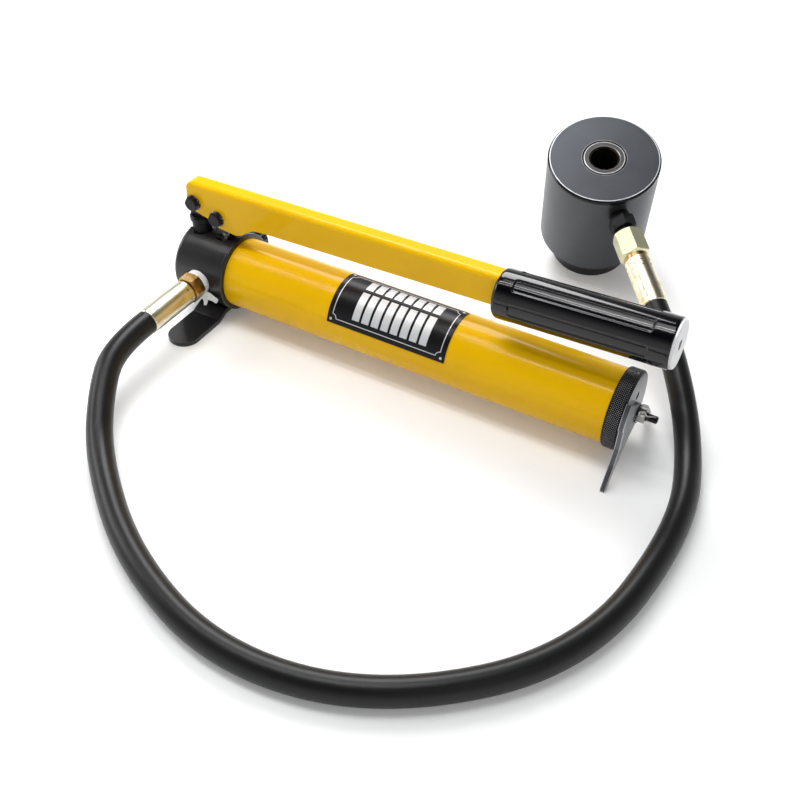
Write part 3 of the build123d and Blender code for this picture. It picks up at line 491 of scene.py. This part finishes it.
def ferrule_zinc(name, light, deep, origin, axis, side, tick_places):
    """A ferrule's film: streaks along it, soft pressed flats round it and dark ticks at some places."""
    zinc = Finish(name, Metallic=1.0)
    run = zinc.along(origin, axis)
    angle = zinc.turn(zinc.along(origin, axis.cross(side)), zinc.along(origin, side))
    film, drift, fine = zinc_base(zinc, light, deep, 0.1)
    swept = zinc.node("ShaderNodeCombineXYZ", None, {"X": angle * 7, "Y": run * 0.05})
    drawn_out = {"Vector": swept, "Scale": 1.0, "Detail": 4.0}
    streak = zinc.node("ShaderNodeTexNoise", {"noise_dimensions": "2D"}, drawn_out, "Fac")
    film = zinc.mix(zinc.step(streak, 0.5, 0.66) * 0.6, film, (0.93, 0.93, 0.90, 1))
    film = zinc.mix(zinc.step(1 - streak, 0.57, 0.72) * 0.3, film, BROWN_ZINC)
    flats = zinc.node("ShaderNodeMath", {"operation": "COSINE"}, {0: angle * FERRULE_DIES})
    pressed = zinc.step(flats, 0.55, 0.8)
    for tick_at in tick_places:
        tick = pressed * zinc.band(run, tick_at - TICK_HALF_MM, tick_at + TICK_HALF_MM, 0.15)
        film = zinc.mix(tick * 0.9, film, (0.03, 0.025, 0.02, 1))
    zinc.set(Base_Color=film, Roughness=0.18 + 0.18 * fine + 0.1 * drift)
    zinc.set(Normal=zinc.bump(flats * 0.35 + streak * 0.35 + fine * 0.1, 0.16, 0.6))
    return zinc.material


PUMP_NECK_MM = 36.0
SWIVEL_NECK_MM = 69.2
PUMP_TICKS_MM = (41.0,)
PUNCH_TICKS_MM = (75.8, 79.5)
port_centre = in_punch(0, 0, PORT_HEIGHT)
at_pump = (OUTLET_CENTRE, -Y)
at_punch = (port_centre, PORT_OUT)
cover(hex_zinc("zinc_pump_hex", GOLD_ZINC, BROWN_ZINC, 0.2, *at_pump, PUMP_NECK_MM), "hose_stem_pump")
cover(hex_zinc("zinc_swivel_nut", GREEN_ZINC, PALE_ZINC, 0.1, *at_punch, SWIVEL_NECK_MM), "swivel_nut")
pump_look = ("zinc_pump_ferrule", OLIVE_ZINC, GREEN_ZINC)
punch_look = ("zinc_punch_ferrule", PALE_ZINC, GOLD_ZINC)
cover(ferrule_zinc(*pump_look, *at_pump, X, PUMP_TICKS_MM), "hose_ferrule_pump")
cover(ferrule_zinc(*punch_look, *at_punch, PUNCH_SIDE, PUNCH_TICKS_MM), "hose_ferrule_punch")
print("zinc on four fittings")

# %% [markdown]
# The hose cover is matt black rubber. It was cured in a cloth wrap, so it keeps a faint fine grain, and it
# has been dragged over floors, so dusty scuffs lie on it in patches.

# %% Hose rubber
def hose_rubber(name):
    rubber = Finish(name, Specular_IOR_Level=0.3)
    scuff = rubber.step(rubber.noise(0.16, 6, 0.75), 0.6, 0.82)
    cloth = rubber.noise(1.3, 2, 0.5)
    mottled = rubber.noise(0.03, 3)
    base = rubber.mix(mottled, (0.006, 0.006, 0.0065, 1), (0.012, 0.012, 0.0125, 1))
    rubber.set(Base_Color=rubber.mix(scuff * 0.35, base, (0.075, 0.075, 0.078, 1)))
    rubber.set(Roughness=0.3 + 0.12 * cloth + 0.2 * scuff)
    rubber.set(Normal=rubber.bump(0.6 * cloth + 0.4 * rubber.noise(0.3, 4), 0.1, 0.5))
    return rubber.material


hose.data.materials.append(hose_rubber("hose_rubber_cover"))
print("rubber on the hose")


# %% Seal rubber
def seal_rubber(name):
    rubber = Finish(name)
    grain = rubber.noise(1.5, 3)
    rubber.set(Base_Color=rubber.mix(grain, (0.01, 0.01, 0.01, 1), (0.03, 0.03, 0.03, 1)))
    rubber.set(Roughness=0.5 + 0.2 * grain, Normal=rubber.bump(grain, 0.03, 0.4))
    return rubber.material


cover(seal_rubber("nitrile"), "tube_seals", "plunger_packing", "rod_seal", "piston_seal")
print("rubber on the seals")

# %% [markdown]
# The grip and the release knob are glossy black mouldings. Their shine is nearly even, with fine hand
# scratches and a slight waviness that bends the light along the flutes. The disc in the grip's end is white.

# %% Glossy black moulding
def black_moulding(name):
    plastic = Finish(name, Specular_IOR_Level=0.2, Coat_Weight=0.55, Coat_Roughness=0.03)
    wave = plastic.noise(0.07, 2)
    scratch = plastic.step(plastic.noise(1.1, 3, 0.7, (0.12, 1.5, 1.5)), 0.66, 0.74)
    plastic.set(Base_Color=plastic.mix(scratch * 0.5, (0.002, 0.002, 0.0035, 1), (0.03, 0.03, 0.035, 1)))
    plastic.set(Roughness=0.12 + 0.08 * wave + 0.2 * scratch)
    plastic.set(Normal=plastic.bump(wave, 0.04, 0.5))
    return plastic.material


GRIP_START = PUMP_CENTRE + Vector((0.1791, 0, 0.0498))
GRIP_STOP = PUMP_CENTRE + Vector((0.2801, 0, 0.0542))
grip_along = (GRIP_STOP - GRIP_START).normalized()
grip_up = (Z - grip_along * Z.dot(grip_along)).normalized()


def pale_disc(name):
    """White, with painted shade down in the slot and round its middle."""
    plastic = Finish(name)
    cloud = plastic.noise(0.12, 4)
    fine = plastic.noise(2.0, 4, 0.7)
    white = plastic.mix(cloud, (0.90, 0.90, 0.91, 1), (0.78, 0.78, 0.79, 1))
    out = plastic.along(GRIP_STOP, grip_along)
    radius = plastic.from_axis(GRIP_STOP, grip_up, Y)
    # painted shade: dark inside the slot and in a round patch at the disc's middle
    slot_shade = (1 - plastic.step(out, 1.48, 1.56)) * (1 - plastic.step(radius, 5.0, 6.0))
    mouth_highlight_and_shade = 1 - plastic.step(radius, 2.7, 3.1)
    plastic.set(Base_Color=plastic.mix(plastic.most(slot_shade, mouth_highlight_and_shade), white, (0.01, 0.01, 0.01, 1)))
    plastic.set(Roughness=0.3 + 0.15 * fine, Metallic=0.15, Normal=plastic.bump(fine, 0.03, 0.4))
    return plastic.material


grip_black = black_moulding("grip_black")
cover(grip_black, "handle_grip", "release_knob")
cover(pale_disc("pale_disc"), "grip_end_disc")
print("grip, knob and end disc")

# %% [markdown]
# White thread tape is wound over the outlet's thread. It is a soft, chalky ribbon: nearly white, with fine
# folds that run round it, and painted shade makes their valleys slightly grey.

# %% Thread tape
def tape_white(name):
    tape = Finish(name, Roughness=0.55, Subsurface_Weight=0.15, Subsurface_Scale=0.001)
    run = tape.along(OUTLET_CENTRE, Y)
    wobble = tape.noise(0.35, 3)
    folds = tape.lines(run * 1.6 + wobble * 2.4)
    # painted shade: the fold valleys are coloured grey
    tape.set(Base_Color=tape.mix(tape.step(folds, 0.3, 0.6), (0.74, 0.74, 0.75, 1), (0.93, 0.93, 0.93, 1)))
    tape.set(Normal=tape.bump(folds, 0.35, 0.8))
    return tape.material


tape_material = tape_white("thread_tape_white")
cover(tape_material, "thread_tape")
print("tape")

# %% [markdown]
# The end cap is aluminium: a black anodised, knurled rim and a plain machined face with fine lathe rings. One
# material can tell them apart by the distance along the pump, as the face is the cap's last tenth of a
# millimetre, inside a narrow dark border.

# %% End cap
CAP_RADIUS_MM = 23.7
CAP_FACE_MM = 265.1


def cap_metal(name):
    cap = Finish(name, Specular_IOR_Level=0.25)
    run = cap.along(PUMP_CENTRE, X)
    radius = cap.from_axis(PUMP_CENTRE, Y, Z)
    on_end = cap.step(run, CAP_FACE_MM - 0.12, CAP_FACE_MM - 0.03)
    face = on_end * (1 - cap.step(radius, CAP_RADIUS_MM - 1.1, CAP_RADIUS_MM - 0.9))
    cloud = cap.noise(0.15, 4)
    rings = cap.lines(radius * 5)
    black = cap.mix(cloud, (0.014, 0.014, 0.015, 1), (0.03, 0.03, 0.032, 1))
    plain = cap.mix(0.6 * rings + 0.4 * cloud, (0.62, 0.63, 0.64, 1), (0.42, 0.43, 0.44, 1))
    cap.set(Base_Color=cap.mix(face, black, plain), Metallic=0.35 + 0.55 * face)
    cap.set(Roughness=0.42 - 0.12 * face + 0.1 * cloud)
    cap.set(Normal=cap.bump(rings * face + cap.noise(1.4, 3) * (1 - face), 0.03, 0.6))
    return cap.material


cover(cap_metal("cap_aluminium"), "end_cap")
print("end cap")

# %% [markdown]
# The rear foot is a stamped plate in dull grey zinc. The press sheared its outline, so its edges are scored
# across; they are painted dark, partly as bare sheared steel and partly as painted shade, with a painted
# highlight as a thin bright line at each corner, while its faces are satin. The surface's own direction tells
# edge from face.

# %% Rear plate
PLATE_FROM_MM = 265.1
PLATE_TO_MM = 268.1


def stamped_plate(name):
    plate = Finish(name)
    facing = plate.node("ShaderNodeNewGeometry", None, None, "True Normal")
    split = plate.tree.nodes.new("ShaderNodeSeparateXYZ")
    plate.feed(split.inputs[0], facing)
    cut = 1 - plate.step(abs(Signal(plate, split.outputs["X"])), 0.4, 0.7)
    run = plate.along(PUMP_CENTRE, X)
    # painted highlight: a thin bright line along each corner of the cut edge
    corner_shade_and_highlight = cut * (1 - plate.band(run, PLATE_FROM_MM + 0.3, PLATE_TO_MM - 0.3, 0.1))
    cloud = plate.noise(0.14, 4)
    score = plate.noise(2.0, 3, 0.6, (0.2, 1, 1))
    satin = plate.mix(cloud, (0.46, 0.47, 0.49, 1), (0.32, 0.325, 0.34, 1))
    # the cut edges are darker: partly bare sheared steel, partly painted shade
    sheared_and_shaded = plate.mix(score, (0.20, 0.20, 0.21, 1), (0.07, 0.07, 0.075, 1))
    grey = plate.mix(cut, satin, sheared_and_shaded)
    plate.set(Base_Color=plate.mix(corner_shade_and_highlight * 0.8, grey, EDGE_WEAR_AND_HIGHLIGHT), Metallic=0.85)
    plate.set(Roughness=0.4 + 0.12 * cloud - 0.1 * cut)
    plate.set(Normal=plate.bump(score * cut + 0.4 * plate.noise(0.9, 3), 0.05, 0.5))
    return plate.material


cover(stamped_plate("stamped_zinc_plate"), "rear_foot")
print("rear plate")

# %% [markdown]
# The label is a thin black plate bent round the tube. It keeps its printed frame, its four rivets and its
# rows of blank silver boxes, and carries no words. All of it is drawn from two distances: along the tube, and
# round it, so it follows the bend.

# %% Label plate
LABEL_FROM_MM = 77.7
LABEL_LENGTH_MM = 79.9
LABEL_RADIUS_MM = 22.85
LABEL_LOW = math.radians(-24.0)
LABEL_WIDTH_MM = math.radians(101.6) * LABEL_RADIUS_MM
LINE_IN_MM = 3.3
LINE_HALF_MM = 0.25
NOTCH_MM = 3.1
RIVET_IN_MM = 2.5
RIVET_RADIUS_MM = 0.85
BOX_COLUMNS = 8
BOX_FIRST_MM = 16.5
BOX_PITCH_MM = 6.5
BOX_GAP_MM = 1.6
BOX_ROWS_MM = ((4.6, 13.1), (15.7, 34.3))
SILVER_SHADE_MM = (22, 36)


def label_finish(name):
    label = Finish(name, Specular_IOR_Level=0.2)
    run = label.along(PUMP_CENTRE, X) - LABEL_FROM_MM
    angle = label.turn(label.along(PUMP_CENTRE, Y) * -1, label.along(PUMP_CENTRE, Z))
    round_way = (angle - LABEL_LOW) * LABEL_RADIUS_MM
    # distance from the nearest edge, both ways
    from_end = LABEL_LENGTH_MM / 2 - abs(run - LABEL_LENGTH_MM / 2)
    from_side = LABEL_WIDTH_MM / 2 - abs(round_way - LABEL_WIDTH_MM / 2)
    nearest = label.node("ShaderNodeMath", {"operation": "MINIMUM"}, {0: from_end, 1: from_side})
    # the printed line keeps clear of each corner by a quarter circle round its rivet
    corner_x = from_end - LINE_IN_MM + 0.3
    corner_y = from_side - LINE_IN_MM + 0.3
    from_corner = (corner_x * corner_x + corner_y * corner_y) ** 0.5
    straight = label.band(nearest, LINE_IN_MM - LINE_HALF_MM, LINE_IN_MM + LINE_HALF_MM, 0.08)
    straight = straight * label.step(from_corner, NOTCH_MM - 0.2, NOTCH_MM)
    bent = label.band(from_corner, NOTCH_MM - LINE_HALF_MM, NOTCH_MM + LINE_HALF_MM, 0.08)
    bent = bent * label.step(nearest, LINE_IN_MM - 0.3, LINE_IN_MM)
    rivet_x = from_end - RIVET_IN_MM
    rivet_y = from_side - RIVET_IN_MM
    from_rivet = (rivet_x * rivet_x + rivet_y * rivet_y) ** 0.5
    rivet = 1 - label.step(from_rivet, RIVET_RADIUS_MM - 0.1, RIVET_RADIUS_MM + 0.1)
    place = run - BOX_FIRST_MM + BOX_GAP_MM / 2
    column = label.node("ShaderNodeMath", {"operation": "PINGPONG"}, {0: place, 1: BOX_PITCH_MM / 2})
    boxes = label.step(column, BOX_GAP_MM / 2 - 0.1, BOX_GAP_MM / 2 + 0.1)
    boxes = boxes * label.band(place, 0, BOX_COLUMNS * BOX_PITCH_MM, 0.1)
    rows = label.band(round_way, *BOX_ROWS_MM[0], 0.1) + label.band(round_way, *BOX_ROWS_MM[1], 0.1)
    boxes = boxes * rows
    grime = label.noise(0.5, 5, 0.7)
    ink = label.most(label.most(label.most(straight, bent), rivet), boxes) * (0.88 + 0.2 * grime)
    black = label.mix(grime, (0.003, 0.003, 0.004, 1), (0.010, 0.010, 0.011, 1))
    # painted shade: the silver turns darker and bluer further round the tube, towards its underside
    silver = label.mix(label.step(round_way, *SILVER_SHADE_MM), (0.86, 0.86, 0.87, 1), (0.58, 0.60, 0.64, 1))
    label.set(Base_Color=label.mix(ink, black, silver), Metallic=0.15 * ink)
    label.set(Roughness=0.24 + 0.15 * grime, Normal=label.bump(ink * 0.5 + grime * 0.1, 0.03, 0.5))
    return label.material


cover(label_finish("label_plate_print"), "label_plate")
print("label", round(LABEL_WIDTH_MM, 1), "mm round the tube")

# %% [markdown]
# Knurling and threads are real relief, which a bump can't give at the edge of a form. Both are a grid of
# points wrapped into a sleeve, whose radius goes up and down by a rule, so one small mesh helper serves both.

# %% Grids wrapped into sleeves
def grid_piece(name, rows, wrap, material, body, split_even=None, smooth=True):
    """A surface through rows of points. split_even picks each square's diagonal by its place."""
    mesh = bmesh.new()
    placed = [[mesh.verts.new(p) for p in row] for row in rows]
    for i in range(len(placed) - 1):
        last = len(placed[i]) if wrap else len(placed[i]) - 1
        for j in range(last):
            k = (j + 1) % len(placed[i])
            a, b, c, d = placed[i][j], placed[i][k], placed[i + 1][k], placed[i + 1][j]
            if split_even is None:
                mesh.faces.new((a, b, c, d))
            elif (i + j) % 2 == split_even:
                mesh.faces.new((a, b, d))
                mesh.faces.new((b, c, d))
            else:
                mesh.faces.new((a, b, c))
                mesh.faces.new((a, c, d))
    bmesh.ops.recalc_face_normals(mesh, faces=mesh.faces)
    data = bpy.data.meshes.new(name)
    mesh.to_mesh(data)
    mesh.free()
    for face in data.polygons:
        face.use_smooth = smooth
    piece = bpy.data.objects.new(name, data)
    bpy.context.scene.collection.objects.link(piece)
    data.materials.append(material)
    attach(piece, body)
    print(name, len(data.polygons), "faces")
    return piece


# %% [markdown]
# The grip is a glossy moulded sleeve with six long shallow flutes. The CAD solid cuts them with sharp edges,
# but a mould's edges are rounded, and each one draws a thin line of light along the grip. So the sleeve is
# made again as a grid, with its rows close together where a flute's edge turns over and far apart elsewhere.

# %% Rows and columns of the grip
GRIP_R_MM = 14.57
GRIP_ROUND_MM = 3.0
GRIP_CHAMFER_MM = 0.5
FLUTES = 6
FLUTE_FIRST_DEG = 30
FLUTE_HALF_MM = 3.8
FLUTE_DEPTH_MM = 0.88
FLUTE_FROM_MM = 11.0
FLUTE_TO_MM = 89.5
FLUTE_CORNER_MM = 1.4
FLUTE_SOFT_MM = 0.62
EDGE_STEPS_MM = (-1.3, -0.9, -0.62, -0.4, -0.2, 0, 0.2, 0.4, 0.62, 0.9)
GRIP_HOLE_MM = 1.5
GRIP_FACE_MM = 8.0
ROUND_STEPS = 8

grip_long_mm = (GRIP_STOP - GRIP_START).length * 1000


def grip_columns():
    """Angles round the grip, as pairs of a turn and the distance in mm from the nearest flute's middle."""
    half_pitch = math.pi * GRIP_R_MM / FLUTES
    arcs = [0, 1.3] + [FLUTE_HALF_MM + step for step in EDGE_STEPS_MM] + [5.6, 6.6]
    one_side = [-a for a in reversed(arcs[1:])] + arcs + [half_pitch]
    columns = []
    for i in range(FLUTES):
        middle = math.radians(FLUTE_FIRST_DEG + 360 / FLUTES * i)
        columns += [(middle + arc / GRIP_R_MM, abs(arc)) for arc in one_side]
    return columns


def grip_stations():
    """Places along the grip, as pairs of a distance from its front and a radius, both in mm."""
    stations = [(0, GRIP_HOLE_MM), (0, GRIP_FACE_MM)]
    for i in range(ROUND_STEPS + 1):
        turn = math.radians(90 * i / ROUND_STEPS)
        run = GRIP_ROUND_MM * (1 - math.cos(turn))
        stations.append((run, GRIP_R_MM - GRIP_ROUND_MM * (1 - math.sin(turn))))
    plain = [4.5, 7.0, 9.0] + [FLUTE_FROM_MM + step for step in EDGE_STEPS_MM] + [13.0, 16.0]
    plain += [20.0 + 6 * i for i in range(11)]
    plain += [84.0, 87.0] + [FLUTE_TO_MM - step for step in reversed(EDGE_STEPS_MM)] + [92.5, 96.0, 99.0]
    stations += [(run, GRIP_R_MM) for run in plain]
    edge = grip_long_mm - GRIP_CHAMFER_MM
    end_r = GRIP_R_MM - GRIP_CHAMFER_MM
    stations += [(edge - 0.15, GRIP_R_MM), (edge, GRIP_R_MM - 0.04), (grip_long_mm - 0.04, end_r)]
    stations += [(grip_long_mm, r) for r in (end_r - 0.15, GRIP_FACE_MM, GRIP_HOLE_MM)]
    return stations


print("grip", len(grip_stations()), "by", len(grip_columns()), "points")


# %% Fluted grip
def flute_depth(across, run):
    """How deep the flute is at a point, from its distance inside a rectangle with round corners."""
    middle = (FLUTE_FROM_MM + FLUTE_TO_MM) / 2
    over_x = across - FLUTE_HALF_MM + FLUTE_CORNER_MM
    over_y = abs(run - middle) - (FLUTE_TO_MM - FLUTE_FROM_MM) / 2 + FLUTE_CORNER_MM
    outside = math.hypot(max(over_x, 0), max(over_y, 0)) + min(max(over_x, over_y), 0) - FLUTE_CORNER_MM
    share = min(max((FLUTE_SOFT_MM - outside) / (2 * FLUTE_SOFT_MM), 0), 1)
    return FLUTE_DEPTH_MM * share * share * (3 - 2 * share)


def grip_rows():
    rows = []
    for run, radius in grip_stations():
        row = []
        for turn, across in grip_columns():
            reach = radius - flute_depth(across, run)
            out = grip_up * math.cos(turn) + Y * math.sin(turn)
            row.append(GRIP_START + (grip_along * run + out * reach) / 1000)
        rows.append(row)
    return rows


fluted_grip = grid_piece("fluted_grip", grip_rows(), True, grip_black, "lever")
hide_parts("handle_grip")

# %% [markdown]
# A diamond knurl is two sets of crossed grooves. On a grid whose points are alternately high and low, each
# high point becomes a little pyramid, so the pattern needs no fine mesh.

# %% Knurl on the end cap
KNURL_AROUND = 216
KNURL_LOW_R = 0.02372
KNURL_HIGH_R = 0.02402
KNURL_FROM = 0.2566
KNURL_TO = 0.2643
KNURL_ALONG = 11
KNURL_CREST_HIGHLIGHT_MM = (23.86, 24.0)


def knurl_rows():
    rows = []
    for i in range(KNURL_ALONG + 1):
        x = KNURL_FROM + (KNURL_TO - KNURL_FROM) * i / KNURL_ALONG
        ends = i in (0, KNURL_ALONG)
        row = []
        for j in range(KNURL_AROUND):
            radius = KNURL_HIGH_R if (i + j) % 2 and not ends else KNURL_LOW_R
            turn = 2 * math.pi * j / KNURL_AROUND
            row.append(PUMP_CENTRE + Vector((x, radius * math.cos(turn), radius * math.sin(turn))))
        rows.append(row)
    return rows


def knurl_finish(name):
    metal = Finish(name, Metallic=0.7, Specular_IOR_Level=0.25)
    # painted highlight: the crest of each diamond is coloured light grey
    crest = metal.step(metal.from_axis(PUMP_CENTRE, Y, Z), *KNURL_CREST_HIGHLIGHT_MM)
    cloud = metal.noise(0.5, 4)
    dark = metal.mix(cloud, (0.004, 0.004, 0.005, 1), (0.012, 0.012, 0.013, 1))
    metal.set(Base_Color=metal.mix(crest * 0.9, dark, (0.62, 0.62, 0.64, 1)), Roughness=0.24 + 0.15 * cloud)
    metal.set(Normal=metal.bump(cloud, 0.03, 0.4))
    return metal.material


knurl_material = knurl_finish("cap_knurl_black")
grid_piece("cap_knurl", knurl_rows(), True, knurl_material, "pump_and_head", 1, False)

# %% [markdown]
# A thread is a ridge that climbs one pitch each turn. If each row of the grid climbs with it, the crest is
# one unbroken line and stays sharp. The same rule gives the stud's thread in the piston and the thread on the
# tie rod's end.

# %% Threads
def thread_rows(origin, axis, side, length, pitch, valley, crest, around=64):
    """Rows that climb with the thread, cut off square at both ends."""
    third = axis.cross(side)
    rows = []
    steps = int(2 * (length / pitch + 1)) + 1
    for k in range(-2, steps):
        row = []
        for j in range(around + 1):
            share = j / around
            run = min(max((k / 2 + share) * pitch, 0), length)
            radius = crest if k % 2 else valley
            turn = 2 * math.pi * share
            out = side * math.cos(turn) + third * math.sin(turn)
            row.append(origin + axis * run + out * radius)
        rows.append(row)
    return rows


def oily_thread(name, dark, light):
    metal = Finish(name, Metallic=0.8)
    cloud = metal.noise(0.35, 4)
    metal.set(Base_Color=metal.mix(cloud, dark, light), Roughness=0.25 + 0.2 * cloud)
    metal.set(Normal=metal.bump(metal.noise(1.8, 3), 0.02, 0.4))
    return metal.material


# length, pitch, radius in the valley and on the crest
STUD_THREAD_MM = (26.0, 1.6, 9.46, 8.75)
STUD_LIFT = 0.0002
STUD_MOUTH = 0.0012
stud_length, stud_pitch, stud_valley, stud_crest = [v / 1000 for v in STUD_THREAD_MM]
stud_from = in_punch(0, 0, PUNCH_TOP_MM / 1000 - stud_length + STUD_LIFT)
stud_run = stud_length - STUD_MOUTH
stud_rows = thread_rows(stud_from, PUNCH_UP, PORT_OUT, stud_run, stud_pitch, stud_valley, stud_crest)
stud_oil = oily_thread("stud_thread_oil", (0.014, 0.011, 0.010, 1), (0.075, 0.058, 0.047, 1))
grid_piece("stud_thread", stud_rows, False, stud_oil, "piston")

ROD_THREAD_MM = (6.2, 0.7, 2.02, 2.24)
ROD_FROM = PUMP_CENTRE + Vector((0.2733, 0, 0))
ROD_AROUND = 40
rod_length, rod_pitch, rod_valley, rod_crest = [v / 1000 for v in ROD_THREAD_MM]
rod_rows = thread_rows(ROD_FROM, X, Y, rod_length, rod_pitch, rod_valley, rod_crest, ROD_AROUND)
grid_piece("tie_rod_thread", rod_rows, False, bolt_black, "pump_and_head")

# %% [markdown]
# A small spring-wire ring sits on the tie rod's end, and a loose tail of tape hangs by the outlet. The ring
# is a bent wire, so it is a curve; the tail is two torn, crumpled strips, so each is a narrow grid.

# %% Wire ring
WIRE_RADIUS = 0.00042
WIRE_POINTS_MM = (
    (270.4, -3.4, 0.8),
    (270.3, -3.9, 3.0),
    (270.8, -3.7, 5.6),
    (272.0, -3.4, 6.0),
    (273.2, -3.0, 4.0),
    (274.0, -2.4, 2.3),
    (275.6, -1.6, 2.2),
    (277.4, -0.9, 2.4),
    (278.8, -0.6, 2.3),
)

wire_points = [PUMP_CENTRE + Vector(p) / 1000 for p in WIRE_POINTS_MM]
ring = nurbs_tube("rod_wire_ring", wire_points, WIRE_RADIUS)
ring.data.materials.append(ground)
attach(ring, "pump_and_head")
print("wire ring")

# %% Frayed end of the tape
# rows of the torn strip, from the ring outwards: its upper and lower edge as (x, z) from the outlet, in mm
TAIL_LONG_MM = (
    ((1.6, 1.2), (1.4, -8.6)),
    ((5.6, -3.8), (3.2, -10.8)),
    ((9.6, -4.6), (7.2, -10.6)),
    ((13.4, -5.4), (10.8, -10.4)),
    ((17.0, -6.6), (14.6, -11.0)),
)
TAIL_SHORT_MM = (
    ((2.0, -8.4), (7.6, -8.4)),
    ((2.8, -10.8), (7.6, -11.0)),
    ((3.8, -13.2), (7.2, -12.9)),
    ((4.0, -15.6), (5.8, -15.9)),
)
TAIL_ACROSS = 5
TAIL_OUT_MM = 25.4
TAIL_CRUMPLE_MM = 0.5
TAIL_LEAN_MM = 0.25
TAPE_THICKNESS = 0.00025


def tape_strip(name, edges, lift):
    """A strip between two edges, a little crumpled, so that it doesn't lie flat."""
    rows = []
    for i, (high, low) in enumerate(edges):
        row = []
        for j in range(TAIL_ACROSS + 1):
            s = j / TAIL_ACROSS
            x = high[0] + (low[0] - high[0]) * s
            z = high[1] + (low[1] - high[1]) * s
            y = -TAIL_OUT_MM - lift - TAIL_CRUMPLE_MM * math.sin(2.3 * i + 4 * s) - TAIL_LEAN_MM * i
            row.append(OUTLET_CENTRE + Vector((x, y, z)) / 1000)
        rows.append(row)
    strip = grid_piece(name, rows, False, tape_material, "pump_and_head")
    thicken = strip.modifiers.new("thickness", "SOLIDIFY")
    thicken.thickness = TAPE_THICKNESS
    soften = strip.modifiers.new("soft", "SUBSURF")
    soften.levels = 1
    soften.render_levels = 2
    return strip


tape_strip("tape_tail", TAIL_LONG_MM, 0.0)
tape_strip("tape_tail_short", TAIL_SHORT_MM, 0.3)

# %% [markdown]
# The set is a white table under soft boxes. The floor is pale by its own colour, and a little light that only
# the camera and mirrors see lifts it to white, more so far from the object, where the lamps fall off. So the
# object keeps its shadow and isn't overlit.

# %% Floor
FLOOR_HALF = 4
FLOOR_DROP = 0.0001
SET_MIDDLE = Vector((0.03, -0.08, 0))
NEAR_MM, FAR_MM = 230, 620
NEAR_LIFT = (0.13, 0.13, 0.13, 1)
FAR_LIFT = (0.6, 0.6, 0.6, 1)

floor_mesh = bpy.data.meshes.new("floor")
floor_corners = [(x * FLOOR_HALF, y * FLOOR_HALF, 0) for x, y in ((-1, -1), (1, -1), (1, 1), (-1, 1))]
floor_mesh.from_pydata(floor_corners, [], [(0, 1, 2, 3)])
floor = bpy.data.objects.new("floor", floor_mesh)
bpy.context.scene.collection.objects.link(floor)
floor.location.z = -FLOOR_DROP


def table_white(name):
    table = Finish(name, Base_Color=(0.86, 0.865, 0.87, 1), Roughness=0.7, Emission_Strength=1.0)
    seen = table.ray("Camera") + table.ray("Glossy") + table.ray("Transmission")
    far = table.step(table.from_axis(SET_MIDDLE, X, Y), NEAR_MM, FAR_MM)
    lift = table.mix(far, NEAR_LIFT, FAR_LIFT)
    table.set(Emission_Color=table.mix(seen, (0, 0, 0, 1), lift))
    return table.material


floor_mesh.materials.append(table_white("table_white"))
print("floor", 2 * FLOOR_HALF, "m wide")


# %% Lamps
def soft_box(name, place, aim, width, height, watts):
    lamp = bpy.data.lights.new(name, "AREA")
    lamp.shape = "RECTANGLE"
    lamp.size = width
    lamp.size_y = height
    lamp.energy = watts
    stand = bpy.data.objects.new(name, lamp)
    bpy.context.scene.collection.objects.link(stand)
    stand.location = place
    stand.rotation_euler = (Vector(aim) - Vector(place)).to_track_quat("-Z", "Y").to_euler()
    print(name, watts, "W")


AIM = (0.03, -0.08, 0.03)
AIM_LEFT = (-0.12, -0.25, 0.0)
AIM_STRIPS = (-0.30, -0.08, 0.03)
# two narrow strips draw the thin lines of light along the tube and the grip
LAMPS = (
    ("key_box", (-0.42, 0.52, 0.95), AIM, 0.55, 0.55, 9.0),
    ("top_box", (-0.10, -0.12, 1.25), AIM, 0.5, 0.5, 2.6),
    ("fill_box", (0.85, -0.55, 0.85), AIM, 0.9, 0.6, 0.7),
    ("left_box", (-0.95, -0.30, 0.50), AIM_LEFT, 0.5, 0.35, 2.8),
    ("strip_near", (-0.30, -0.17, 0.97), AIM_STRIPS, 1.0, 0.02, 2.2),
    ("strip_far", (-0.30, -0.32, 0.97), AIM_STRIPS, 1.0, 0.02, 1.6),
)
for lamp_row in LAMPS:
    soft_box(*lamp_row)


# %% World
class Sky(Finish):
    """The world's background, made with the same short calls."""

    def __init__(self, name):
        self.world = bpy.data.worlds.new(name)
        self.world.use_nodes = True
        self.tree = self.world.node_tree
        self.shader = self.tree.nodes["Background"]


def studio_sky(name):
    """White to the camera, an even grey to a matt surface, and dark overhead in a mirror."""
    sky = Sky(name)
    seen = sky.ray("Camera") + sky.ray("Transmission")
    mirrored = sky.ray("Glossy")
    direction = sky.tree.nodes.new("ShaderNodeSeparateXYZ")
    sky.feed(direction.inputs[0], sky.node("ShaderNodeTexCoord", output="Generated"))
    overhead = sky.step(Signal(sky, direction.outputs["Z"]), 0.1, 0.7)
    sky.set(Color=(1, 1, 1, 1), Strength=0.36 + 0.64 * seen + mirrored * (0.45 - 0.8 * overhead))
    return sky.world


bpy.context.scene.world = studio_sky("studio")
bpy.context.scene.view_settings.view_transform = "Standard"
print("sky and view transform")
